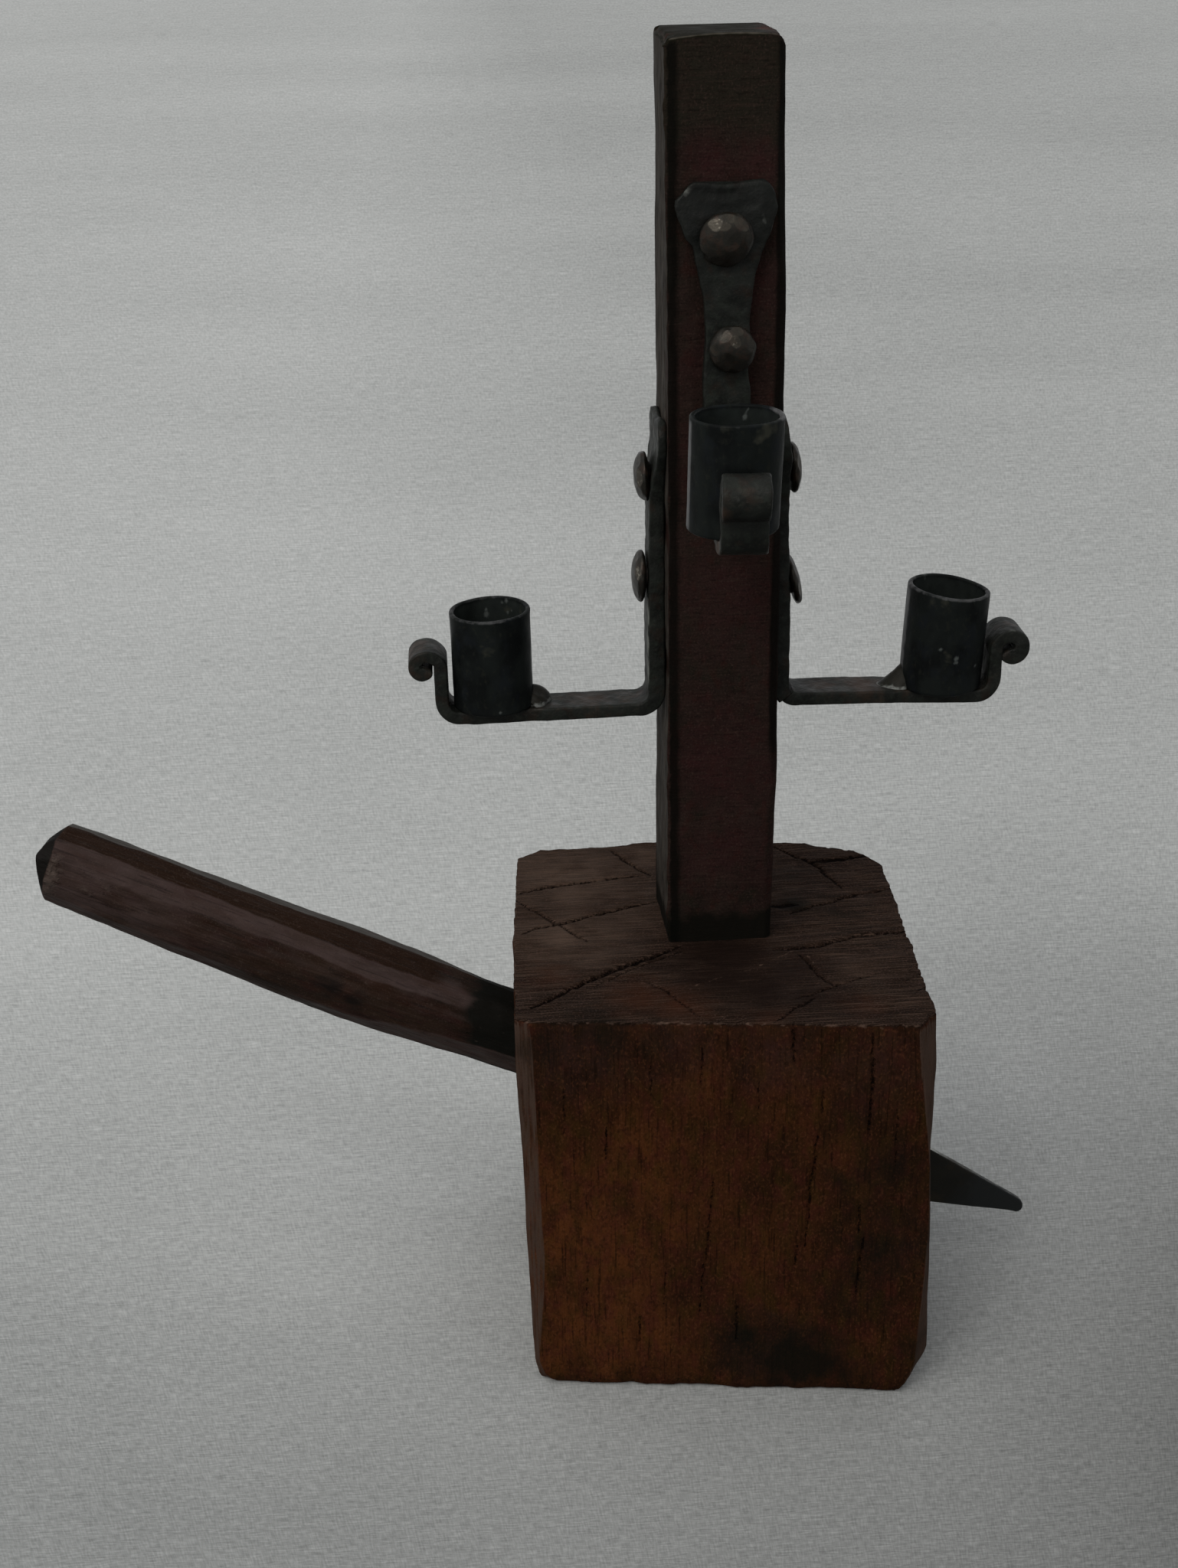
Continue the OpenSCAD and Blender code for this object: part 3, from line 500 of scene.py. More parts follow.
def spotMarks(points, spots):
    value = np.zeros(len(points))
    for x, y, z, radius, strength in spots:
        away = np.linalg.norm(points - np.array([x, y, z]), axis=1)
        value = np.maximum(value, strength * (1 - away / radius))
    return value


def blockRing(z):
    ring = []
    corners = [[np.interp(z, [p[0] for p in line[2]], [p[k] for p in line[2]]) for k in (1, 2)] for line in block["lines"]]
    for k, (_, steps, _) in enumerate(block["lines"]):
        a, b = np.array(corners[k]), np.array(corners[(k + 1) % len(corners)])
        ring.append(a + (b - a) * (np.arange(steps) / steps)[:, None])
    return np.concatenate(ring)


def makeBlock():
    counts = [line[1] for line in block["lines"]]
    around = sum(counts)
    plain = blockRing(70.0)
    after, before = np.roll(plain, -3, axis=0), np.roll(plain, 3, axis=0)
    outward = np.stack([(after - before)[:, 1], -(after - before)[:, 0]], 1)
    outward /= np.linalg.norm(outward, axis=1)[:, None]
    flatRing = np.column_stack([plain, np.zeros(around)])
    topRound = block["topRound"] * (1 + 1.3 * rough(flatRing, 9, 3, 3)).clip(0.35, 2.6)
    footRound = block["footRound"] * (1 + 1.0 * rough(flatRing, 12, 5, 3)).clip(0.35, 2.4)
    rows = []
    for turn in np.linspace(0, math.pi / 2, 6)[:-1]:
        ring = blockRing(0.0) - outward * (footRound * (1 - math.sin(turn)))[:, None]
        rows.append(np.column_stack([ring, footRound * (1 - math.cos(turn))]))
    for share in np.linspace(0, 1, block["rows"]):
        z = footRound + (blockTop - topRound - footRound) * share
        ring = blockRing(z.mean())
        rows.append(np.column_stack([ring, z]))
    for turn in np.linspace(0, math.pi / 2, 6)[1:]:
        ring = blockRing(blockTop) - outward * (topRound * (1 - math.cos(turn)))[:, None]
        rows.append(np.column_stack([ring, blockTop - topRound * (1 - math.sin(turn))]))
    flat = np.array(rows).reshape(-1, 3)
    out3 = np.tile(np.column_stack([outward, np.zeros(around)]), (len(rows), 1))
    hew = 0.42 * rough(flat, (10, 10, 44), 11, 3) + 0.16 * rough(flat, (2.0, 2.0, 18), 12, 2)
    ringIndex = np.tile(np.arange(around), len(rows))
    onFront = ringIndex < counts[0] + counts[1]
    hew = np.where(onFront & (ringIndex > counts[0]), 0.75 * hew, 1.25 * hew)
    # the upper rim is chipped away in places, most of all on the right
    rightward = smooth(flat[:, 0], 30, 56)
    chips = 1.6 * np.clip(rough(np.column_stack([flat[:, :2], 0 * flat[:, 2]]), (3.2, 3.2, 9), 17, 3) - 0.05, 0, 1.2)
    hew -= chips * (0.25 + rightward) * smooth(flat[:, 2], 131 + 6 * rough(flat, (5, 5, 9), 18, 2), 141)
    deep, crack = crackDepth(flat[:, [0, 2]], block["frontCracks"], 40)
    deep, crack = deep * onFront, crack * onFront
    flat = flat + out3 * ((hew * smooth(flat[:, 2], 0, 4)) - deep)[:, None]
    # the top's cracks run out over its edge
    high = smooth(flat[:, 2], 134, 141)
    deepRim, crackRim = crackDepth(flat[:, :2], block["topCracks"], 80)
    flat[:, 2] -= 0.8 * deepRim * smooth(flat[:, 2], 138.5, 141)
    flat -= out3 * (0.7 * deepRim * high)[:, None]
    crack = np.maximum(crack, crackRim * smooth(flat[:, 2], 136, 139))

    # the top shares the last ring and is filled between its four sides
    start = np.concatenate([[0], np.cumsum(counts)])[list(block["corners"])]
    nx, ny = start[1] - start[0], start[2] - start[1]
    assert start[3] - start[2] == nx and around - start[3] == ny, (start, around)
    first = (len(rows) - 1) * around
    index = np.full((ny + 1, nx + 1), -1)
    index[0] = first + np.arange(start[0], start[1] + 1)
    index[:, nx] = first + np.arange(start[1], start[2] + 1)
    index[ny] = first + np.arange(start[2], start[3] + 1)[::-1]
    index[:, 0] = first + (np.arange(start[3], around + 1) % around)[::-1]
    s, t = np.meshgrid(np.linspace(0, 1, nx + 1), np.linspace(0, 1, ny + 1))
    s, t = s[..., None], t[..., None]
    c0, c1 = flat[index[0]][None], flat[index[ny]][None]
    d0, d1 = flat[index[:, 0]][:, None], flat[index[:, nx]][:, None]
    inner = ((1 - t) * c0 + t * c1 + (1 - s) * d0 + s * d1
             - (1 - s) * (1 - t) * c0[:, :1] - s * (1 - t) * c0[:, -1:] - (1 - s) * t * c1[:, :1] - s * t * c1[:, -1:])
    inner = inner[1:-1, 1:-1].reshape(-1, 3)
    deepTop, crackTop = crackDepth(inner[:, :2], block["topCracks"], 80)
    saw = 0.10 * rough(inner, (30, 1.6, 60), 21, 2) + 0.30 * rough(inner, (15, 10, 60), 22, 4)
    # the top's front edge is worn low between these two places
    dip = 1.1 * smooth(inner[:, 0], -15, -9) * (1 - smooth(inner[:, 0], -2, 2)) * (1 - smooth(inner[:, 1], -68, -63))
    i, j = np.meshgrid(np.arange(1, nx), np.arange(1, ny))
    rim = np.minimum.reduce([i, j, nx - i, ny - j]).ravel()
    edgeZ = smooth(rim, 0, 6)
    inner[:, 2] = blockTop - (blockTop - inner[:, 2]) * (1 - edgeZ) + saw * edgeZ - deepTop * smooth(rim, 0, 3) - dip
    index[1:-1, 1:-1] = len(flat) + np.arange(len(inner)).reshape(ny - 1, nx - 1)
    points = np.concatenate([flat, inner])
    a, b, c, d = index[:-1, :-1], index[:-1, 1:], index[1:, 1:], index[1:, :-1]
    faces = ringFaces(len(rows), around) + np.stack([a, b, c, d], -1).reshape(-1, 4).tolist() + [list(range(around))[::-1]]
    scratch = np.zeros(len(inner))
    for line in block["scratches"]:
        scratch = np.maximum(scratch, 1 - nearLine(inner[:, :2], jagged(line, 2.0, 0.3, 19))[0] / 0.9)
    # painted sheen along the left face strip and the right arris strip
    arris = np.zeros(around)
    arris[:counts[0] + 1] = 0.8
    arris[counts[0] + counts[1]:counts[0] + counts[1] + 7] = 0.95
    top = smooth(flat[:, 2], 139.9, 140.9)
    wearSide = 0.95 * np.where(flat[:, 2] > 139.2, 1 - np.abs(flat[:, 2] - 140.6) / 1.2, 0).clip(0)
    marks = {
        "crack": np.concatenate([crack, crackTop]),
        "wearAndSheen": np.concatenate([wearSide, np.maximum(0.8 * (1 - smooth(rim, 0, 2)), 1.1 * scratch.clip(0))]),
        "top": np.concatenate([top, np.ones(len(inner))]),
        "side": np.concatenate([1 - top, np.zeros(len(inner))]),
        "grey": np.concatenate([np.tile(arris, len(rows)) * (1 - top), np.zeros(len(inner))]),
        "warm": spotMarks(points, block["warm"]) * np.concatenate([1 - top, np.zeros(len(inner))]),
        "topWarm": spotMarks(points, block["topWarm"]),
        # painted sheen on the top
        "paintedSheen": spotMarks(points, block["paintedSheen"]) * np.concatenate([top, np.ones(len(inner))]),
        "stainAndShade": spotMarks(points, block["stainAndShade"]),
        "shadow": spotMarks(points, block["shadow"]),
        "mauve": spotMarks(points, block["mauve"]),
    }
    return makePiece("hewnBlock", points, faces, agedBlockWood, ["base_block"], marks)


makeBlock()
print("block made")



post = {
    # (height, x of the left face in front and behind, x of the right face in front, width of the cut right front arris)
    "sides": [
        (138, -17.2, -18.0, 15.9, 1.6), (148, -17.4, -18.2, 16.2, 1.7), (157, -17.5, -18.25, 16.6, 2.5), (167, -17.55, -18.05, 16.75, 2.5),
        (181, -17.45, -17.9, 16.85, 2.4), (197, -17.4, -17.6, 17.25, 1.3), (212, -17.3, -17.4, 17.25, 1.9), (228, -16.9, -16.9, 17.3, 3.0),
        (320, -16.75, -17.0, 17.4, 1.6), (330, -16.7, -17.05, 17.4, 1.5), (343, -16.75, -17.0, 17.3, 1.8), (355, -16.9, -17.0, 17.25, 1.6),
        (367, -17.05, -16.9, 17.0, 1.9), (373, -17.3, -16.8, 16.9, 2.3), (380, -17.2, -16.8, 16.75, 2.7), (392, -17.0, -16.85, 16.5, 3.0),
        (404, -17.3, -17.15, 16.3, 1.9), (412, -17.2, -17.2, 16.25, 2.2), (420, -17.2, -17.2, 16.25, 2.4)],
    "depth": 33.0, "bevel": 0.4, "backRight": 16.8, "faceSteps": 38, "bevelSteps": 4, "rows": 290,
    "edge": 0.8, "edgeSteps": 5, "fillRings": 20, "top": 420.0, "bottom": 138.0, "sway": 1.7, "leftRound": 1.2, "rightRound": 3.0, "arch": 1.0,
    # patches as (x, y, z, radius in mm, strength)
    "red": [(-4, -16, 386, 13, 1.2), (8, -16, 386, 12, 1.1), (-9, -16, 205, 9, 1.2), (-2, -16, 330, 40, 0.7), (4, -16, 262, 46, 0.75),
            (0, -16, 205, 40, 0.9), (0, -16, 172, 32, 0.85), (-10, -16, 300, 26, 0.8), (10, -16, 350, 22, 0.7)],
    "ember": [(12, -4, 419, 6, 1.3), (14, 4, 419, 5, 1.0), (-16, -10, 419, 3, 0.6)],
}


def postFall(x, y):
    # how far the post's top falls below its full height at its rounded ends and along its arched front edge
    fall = np.zeros(len(x))
    for away, radius in ((x + 17.2, post["leftRound"]), (16.3 - x, post["rightRound"])):
        inside = np.clip(radius - away, 0, radius)
        fall = np.maximum(fall, radius - np.sqrt(radius ** 2 - inside ** 2))
    return np.maximum(fall, 0) + post["arch"] * ((x - 1) / 16) ** 2 * smooth(-y, 4, 16)


def makePost():
    n, b = post["faceSteps"], post["bevelSteps"]
    sides = np.array(post["sides"])

    def ring(z):
        leftFront, leftBack, right, cut = [np.interp(z, sides[:, 0], sides[:, k]) for k in (1, 2, 3, 4)]
        half, small, back = post["depth"] / 2, post["bevel"], post["backRight"]
        sway = post["sway"] * (noise.noise((z / 11, 0.3, 4.1)) + 0.5 * noise.noise((z / 4, 2.3, 1.1)))
        spots = [(leftFront + 0.3 * sway, -half + small), (leftFront + small + sway, -half), (right - cut, -half), (right, -half + cut),
                 (back, half - 1.4), (back - 1.4, half), (leftBack + small, half), (leftBack, half - small)]
        out = []
        for k in range(8):
            steps = b if k % 2 == 0 else n
            p, q = np.array(spots[k]), np.array(spots[(k + 1) % 8])
            out.append(p + (q - p) * (np.arange(steps) / steps)[:, None])
        return np.concatenate(out)

    around = 4 * (n + b)
    topRing = ring(post["top"])
    topZ = post["top"] - postFall(topRing[:, 0], topRing[:, 1])
    rings = []
    for share in np.linspace(0, 1, post["rows"]):
        z = post["bottom"] + (topZ - post["edge"] - post["bottom"]) * share
        rings.append(np.column_stack([ring(z.mean()), z]))
    for turn in np.linspace(0, math.pi / 2, post["edgeSteps"])[1:]:
        inset = 1 - post["edge"] * (1 - math.cos(turn)) / 17
        rings.append(np.column_stack([topRing * inset, topZ - post["edge"] * (1 - math.sin(turn))]))
    side = np.array(rings)
    flat = side.reshape(-1, 3)
    after, before = np.roll(side, -2, axis=1), np.roll(side, 2, axis=1)
    step = (after - before).reshape(-1, 3)
    out = np.stack([step[:, 1], -step[:, 0], np.zeros(len(step))], 1)
    out /= np.linalg.norm(out, axis=1)[:, None]
    hew = 0.26 * rough(flat, (10, 10, 26), 31, 3) + 0.07 * rough(flat, (2.2, 2.2, 6), 32, 2)
    flat = flat + out * np.minimum(hew, 0.3)[:, None]
    last = flat[(len(rings) - 1) * around:]
    mid = last.mean(0)
    fill = []
    for share in np.linspace(1, 0, post["fillRings"])[1:-1]:
        inner = mid + (last - mid) * share
        inner[:, 2] = post["top"] - postFall(inner[:, 0], inner[:, 1]) - 0.12 + 0.12 * rough(inner, (6, 6, 6), 33, 2)
        fill.append(inner)
    mid[2] = post["top"] - 0.1
    points = np.concatenate([flat] + fill + [mid[None]])
    points[:, 2] = np.minimum(points[:, 2], post["top"])
    rows = len(rings) + len(fill)
    tail = (rows - 1) * around
    faces = ringFaces(rows, around) + [list(range(around))[::-1]]
    faces += [[tail + j, tail + (j + 1) % around, rows * around] for j in range(around)]
    x, y, z = points.T
    top = z - (post["top"] - postFall(x, y))
    front = 1 - smooth(y, -16.2, -14.0)
    leftBand = front * (1 - smooth(x + 17.0, 1.6, 5.0)) * smooth(x + 17.0, 0.0, 0.5)
    rightBand = smooth(x, 13.4, 15.0) * (1 - smooth(y, -14.5, -12.5)) * smooth(z, 190, 215)
    onTop = smooth(top, -1.2, -0.3)
    marks = {
        "red": spotMarks(points, post["red"]) * (1 - onTop),
        # darker at the foot, just above the block
        "stainAndShade": 1 - smooth(z + 2.5 * rough(points, (6, 6, 6), 35, 2), 146, 155),
        "bevel": np.maximum(0.95 * leftBand, 0.9 * rightBand) * (1 - onTop),
        "olive": smooth(z, 384, 400) * (1 - onTop),
        # painted sheen on the left face
        "left": (1 - smooth(x, -16.9, -16.4)) * smooth(y, -16.2, -15.0) * (1 - smooth(y, 13, 15)),
        "cap": onTop * (1 - smooth(x, 8, 14)),
        "ember": spotMarks(points, post["ember"]),
        "wearAndSheen": 0.9 * (1 - np.abs(top + 0.25) / 0.5).clip(0) * (1 - smooth(y, -16.2, -15.0)),
    }
    return makePiece("hewnPost", points, faces, agedPostWood, ["post"], marks)


makePost()
print("post made")



strap = {"wide": 13.8, "thick": 4.2, "edgeThick": 2.0, "bend": 8.0, "tight": 3.2, "postFace": 16.85,
         "cupOut": 25.4, "cupGap": 0.7, "curlSweep": 332, "curlHole": 0.4, "corner": 0.9, "step": 0.9, "lobe": 9.0}
arms = {
    "front": {
        "turn": -90, "low": 294.0, "height": 87.6, "reach": 72.0, "swing": 3.5, "seed": 1, "hammered": 1.0, "plumb": (0.0, 0.0), "bulge": 0.0, "thinned": (0, 16), "upturn": 6.4,
        # curl: its middle's height above the underside and outward shift, then its outer radius at angles seen from the side
        "curlZ": 18.4, "curlOut": -0.35, "curl": [(-152, 5.2), (-90, 6.1), (0, 5.9), (90, 6.3), (150, 6.9), (180, 7.4)],
        "droop": [(0, 0), (80, 0)],
        # half widths to the left and right at depths below the top
        "left": [(0, 9.5), (1, 11.4), (2.2, 12.7), (4.5, 14.5), (7, 15.0), (9, 14.5), (11.8, 12.9), (14, 12.4), (15.7, 11.8), (17.4, 10.1), (19.1, 9.6), (22, 9.3), (24.1, 8.6), (26.7, 8.0), (31.8, 6.9), (35, 6.5), (40, 6.4), (47, 6.6), (60, 6.9)],
        "right": [(0, 10.4), (1, 12.0), (2, 12.9), (3.3, 13.5), (7.4, 13.9), (11.4, 12.7), (14.1, 11.7), (17.5, 10.3), (21.2, 8.8), (25.8, 7.8), (30.7, 7.1), (35, 6.5), (39.6, 6.1), (54, 6.1), (60, 6.9)],
        "dip": [(-13, 1.8), (-11.7, 0.9), (-9.8, 0.2), (-6.3, 0.5), (-3.3, 0.8), (1.3, 0.9), (4, 0.5), (6.3, 0.2), (9.7, 0), (12.2, 0.6), (14, 2.4)],
        # patches as (outward, across, height, radius in mm, strength): light ones partly bare spots and partly painted
        # highlights and sheen, soot with painted shade, dents, and browned ones
        # painted highlights along the flare's edges and on the curl
        "light": [(2, -12.6, 76, 1.9, 1.3), (3, -9.4, 67.2, 1.8, 1.1), (3, 9.5, 76.5, 2.8, 0.9), (3, 11.5, 73, 2.0, 0.8),
                  (2, -12, 85, 2.2, 0.8), (82, -2, 20.5, 4, 0.35), (82, 4, 20.5, 3, 0.3), (3, 0, 79, 2.0, 0.7)],
        # painted shade on the curl's lower half, and darker round the upper nail
        "sootAndShade": [(3, -7, 80, 15, 1.5), (3, 6, 79, 15, 1.5), (3, -9, 72, 9, 1.0), (3, 8, 72, 9, 1.0), (80, -3, 13, 7, 1.2), (80, 4, 13, 7, 1.2), (75, 0, 26, 6, 0.9)],
        "dent": [(2.5, -8, 85.4, 2.6, 1.3), (2.5, -5, 84.6, 2.6, 1.3), (2.5, -1.5, 83.8, 2.4, 1.3), (2.5, 1.5, 84.2, 2.0, 1.1)],
        "brown": [(66, -7, 3, 6, 1.3), (67, 7, 1, 4, 1.0), (80, -6, 15.5, 3.6, 1.3), (80, 0, 20, 6, 0.7), (20, 0, 3, 9, 0.7)],
    },
    "left": {
        "turn": 180, "low": 217.0, "height": 97.0, "reach": 71.5, "swing": 0.0, "seed": 2, "hammered": 0.6, "plumb": (0.1, 0.5), "bulge": 0.7, "thinned": (9, 27), "upturn": 6.9,
        "curlZ": 20.0, "curlOut": -0.2, "curl": [(-152, 4.5), (-90, 5.0), (-45, 4.5), (0, 4.2), (45, 4.3), (90, 4.6), (120, 5.4), (150, 6.4), (180, 7.8)],
        "droop": [(0, 0.2), (12, 0.2), (40, 0.1), (68, 0)],
        "left": [(0, 8), (1, 11), (2.6, 13.2), (5, 14.7), (9, 14.6), (13, 13), (17, 10.6), (22, 8.8), (28, 7.4), (36, 6.9), (60, 6.9)],
        "right": [(0, 8.6), (1, 11.6), (2.6, 13.6), (5, 14.9), (9, 14.8), (13, 13.2), (17, 10.8), (22, 8.8), (28, 7.4), (36, 6.9), (60, 6.9)],
        "dip": [(-15, 2.2), (-9, 1.4), (-3, 2.6), (0, 2.8), (3, 2.4), (9, 1.0), (15, 2.0)],
        # painted sheen on the outer face, seen edge-on
        "light": [(4.4, 6.5, 15, 7, 1.5), (4.4, 6.5, 24, 7, 1.6), (4.4, 6.5, 33, 6, 1.4), (28, 7, 4, 4, 0.6), (40, 7, 4, 3, 0.7)],
        "sootAndShade": [], "dent": [],
        "brown": [(24, 0, 4, 14, 0.8), (12, 0, 3, 9, 0.7), (40, 0, 4, 12, 0.6), (78, 0, 20, 13, 0.9)],
    },
    "right": {
        "turn": 0, "low": 217.0, "height": 96.5, "reach": 71.5, "swing": 0.0, "seed": 3, "hammered": 0.7, "plumb": (0.3, -0.1), "bulge": 1.2, "thinned": (0, 16), "upturn": 6.9,
        "curlZ": 18.1, "curlOut": 0.7, "curl": [(-152, 5.0), (-90, 5.7), (0, 5.3), (90, 5.7), (150, 6.7), (180, 7.5)],
        "droop": [(0, 0.9), (9, 1.4), (35, 0.8), (68, -0.5)],
        "left": [(0, 8.2), (1, 11.4), (2.6, 13.4), (5, 14.6), (9, 14.6), (13, 13), (17, 10.6), (22, 8.8), (28, 7.4), (36, 6.9), (60, 6.9)],
        "right": [(0, 8.4), (1, 11.2), (2.6, 13.2), (5, 14.8), (9, 14.7), (13, 13.2), (17, 10.8), (22, 8.8), (28, 7.4), (36, 6.9), (60, 6.9)],
        "dip": [(-15, 0.8), (-9, 0), (-3, 1.6), (0, 2.0), (3, 1.6), (9, 0), (15, 0.8)],
        "light": [(30, -7, 3, 4, 0.6), (71, -7, 10, 5, 0.6), (76, -6, 23, 4, 0.6)],
        "sootAndShade": [], "dent": [],
        "brown": [(30, 0, 5, 13, 1.2), (44, 0, 5, 10, 1.2), (18, 0, 5, 10, 0.9), (76, 0, 23, 5, 0.6)],
    },
}


def arc(centre, radius, start, end, count):
    turn = np.radians(np.linspace(start, end, count))
    return np.stack([centre[0] + radius * np.cos(turn), centre[1] + radius * np.sin(turn)], 1)


def strapSide(arm):
    # matching points of a strap's back and front in side view, from its top down and out round the curl
    t, bend, tight = strap["thick"], strap["bend"], strap["tight"]
    inX = arm["reach"] - strap["postFace"] + strap["cupOut"] / 2 + strap["cupGap"] + arm["curlOut"]
    outX = inX + t
    backIn, frontOut = arm["plumb"]
    z = np.linspace(arm["height"], bend, int((arm["height"] - bend) / strap["step"]))
    thin = strap["edgeThick"] + (t - strap["edgeThick"]) * smooth(arm["height"] - z, *arm["thinned"])
    thin += frontOut + arm["bulge"] * (1 - smooth(z, 20, 76))
    frontOut += arm["bulge"]
    back, front = [np.stack([backIn + 0 * z, z], 1)], [np.stack([thin, z], 1)]
    back.append(arc((bend + backIn, bend), bend, 180, 270, 14)[1:])
    front.append(arc((bend + frontOut, bend), bend - t, 180, 270, 14)[1:])
    count = int((outX - 2 * bend) / strap["step"])
    x = np.linspace(bend, outX - bend, count)[1:]
    x2 = np.linspace(bend + frontOut, inX - tight, count)[1:]
    back.append(np.stack([x, 0 * x], 1))
    front.append(np.stack([x2, 0 * x + t], 1))
    back.append(arc((outX - bend, bend), bend, 270, 360, 14)[1:])
    front.append(arc((inX - tight, t + tight), tight, 270, 360, 14)[1:])
    count = int((arm["curlZ"] - bend) / strap["step"]) + 2
    back.append(np.stack([np.full(count, outX), np.linspace(bend, arm["curlZ"], count)], 1)[1:])
    front.append(np.stack([np.full(count, inX), np.linspace(t + tight, arm["curlZ"], count)], 1)[1:])
    share = np.linspace(0, 1, 52)[1:]
    angle = 180 - strap["curlSweep"] * share
    r = np.interp(angle, *zip(*arm["curl"]))
    curlT = t + (r - strap["curlHole"] - t) * smooth(share, 0.1, 0.55)
    centre = np.array([inX + arm["curl"][-1][1], arm["curlZ"]])
    along = np.stack([np.cos(np.radians(angle)), np.sin(np.radians(angle))], 1)
    back.append(centre + np.maximum(r - curlT, 0.3)[:, None] * along)
    front.append(centre + r[:, None] * along)
    return np.concatenate(back), np.concatenate(front)


def sectionTemplate(across=20, corner=4, side=2):
    # a rounded bar end: (corner centre, outward step) for each point, front face first
    spots = [(-1 + 2 * k / across, 1, 0, 1) for k in range(across + 1)]
    for cx, cy, start in ((1, 1, 0.5), (1, -1, 0), (-1, -1, -0.5), (-1, 1, -1)):
        for k in range(1, corner + 1):
            turn = math.pi * (start - k / corner / 2)
            spots.append((cx, cy, math.cos(turn), math.sin(turn)))
        if cx == cy:
            spots += [(cx, cy * (1 - 2 * k / side), cx, 0) for k in range(1, side)]
            spots.append((cx, -cy, cx, 0))
        elif cy < 0:
            spots += [(1 - 2 * k / across, -1, 0, -1) for k in range(1, across + 1)]
    return np.array(spots[:-1])


def turned(points, degrees):
    c, s = math.cos(math.radians(degrees)), math.sin(math.radians(degrees))
    return np.column_stack([points[:, 0] * c - points[:, 1] * s, points[:, 0] * s + points[:, 1] * c, points[:, 2]])


def placeOnPost(points, arm):
    return turned(points + np.array([strap["postFace"], 0, arm["low"]]), arm["turn"])


def swungPoints(points, arm, share=1.0):
    # turns a run about the strap's left back edge
    half = strap["wide"] / 2
    angle = -np.radians(arm["swing"]) * share * np.ones(len(points))
    x, y = points[:, 0], points[:, 1] + half
    return np.column_stack([x * np.cos(angle) - y * np.sin(angle), x * np.sin(angle) + y * np.cos(angle) - half, points[:, 2]])


def makeArm(label, arm):
    back, front = strapSide(arm)
    middle, half = (back + front) / 2, (front - back) / 2
    rows = len(middle)
    length = np.concatenate([[0], np.cumsum(np.linalg.norm(np.diff(middle, axis=0), axis=1))])
    template = sectionTemplate()
    around = len(template)
    thick = np.linalg.norm(half, axis=1)
    direction = half / thick[:, None]
    upright = np.arange(rows) < np.argmax(middle[:, 0] > 4.6)
    depthDown = np.where(upright, arm["height"] - middle[:, 1], 60)
    wave = [np.array([noise.fractal((s / 8, arm["seed"] * shift, 0.4), 0.7, 2.0, 3) for s in length]) for shift in (5.3, 7.9)]
    # the strap is a little narrower from the second bend on
    narrow = (strap["wide"] / 2 - arm["upturn"]) * smooth(middle[:, 0], 62, 70) * ~upright
    wideLeft = np.interp(depthDown, *zip(*arm["left"])) + 0.4 * wave[0] - narrow
    wideRight = np.interp(depthDown, *zip(*arm["right"])) + 0.4 * wave[1] - narrow
    left = length[-1] - length
    endShrink = np.sqrt(np.clip(1 - (1 - np.clip(left / 1.3, 0, 1)) ** 2, 0.06, 1))
    startShrink = np.sqrt(np.clip(1 - (1 - np.clip(length / 1.1, 0, 1)) ** 2, 0.1, 1))
    points = np.zeros((rows, around, 3))
    isLeft = template[:, 0] < 0
    for i in range(rows):
        corner = min(strap["corner"], thick[i] * 0.9) * (0.8 + 0.3 * wave[0][i])
        across = template[:, 0] * (np.where(isLeft, wideLeft[i], wideRight[i]) - corner - (1 - endShrink[i]) * 1.3) + template[:, 2] * corner
        deep = (template[:, 1] * (thick[i] - corner) + template[:, 3] * corner) * endShrink[i] * startShrink[i]
        points[i] = np.column_stack([middle[i, 0] + direction[i, 0] * deep, across, middle[i, 1] + direction[i, 1] * deep])
        if upright[i]:
            fall = max(0.0, 1 - depthDown[i] / strap["lobe"]) ** 1.5
            points[i, :, 2] -= fall * np.interp(across, *zip(*arm["dip"]))
        else:
            points[i, :, 2] += np.interp(points[i, :, 0], *zip(*arm["droop"]))
    flat = points.reshape(-1, 3)
    normal = np.repeat(direction, around, axis=0)
    side = np.tile(np.sign(template[:, 1]) * (np.abs(template[:, 3]) > 0.5), rows)
    shifted = flat + side[:, None] * 9
    dents = 0.30 * rough(shifted, 5.5, 50 + arm["seed"], 2) + 0.10 * rough(shifted, 1.7, 60 + arm["seed"], 2)
    dents *= arm["hammered"]
    isBack = side < 0
    dents = np.where(np.repeat(upright, around) & isBack, -0.4 * np.abs(dents), np.where(isBack, -dents, dents))
    dents *= np.where((side > 0) & np.repeat(depthDown < 22, around), 1.8, 1.0)
    dents *= np.repeat(1 - 0.5 * smooth(middle[:, 0], 4.6, 9) - 0.2 * smooth(middle[:, 0], 72, 74), around)
    dent = spotMarks(flat, arm["dent"])
    dents -= 0.6 * dent.clip(0) * (side > 0)
    flat[:, [0, 2]] += normal * (dents * np.abs(side))[:, None]
    marks = {"wearAndSheen": spotMarks(flat, arm["light"]) * 0.9 * (side > 0), "brown": spotMarks(flat, arm["brown"]), "dent": dent,
             "sootAndShade": spotMarks(flat, arm["sootAndShade"])}
    swingShare = np.repeat(smooth(middle[:, 0], 2.0, 9.0) * (middle[:, 1] < 40), around)
    points = placeOnPost(swungPoints(flat, arm, swingShare), arm)
    faces = ringFaces(rows, around) + [[first + k for k in range(around)] for first in (0, (rows - 1) * around)]
    return makePiece(label + "Strap", points, faces, forgedIron, [label + "_arm"], marks)


for label, arm in arms.items():
    makeArm(label, arm)
print("straps made")



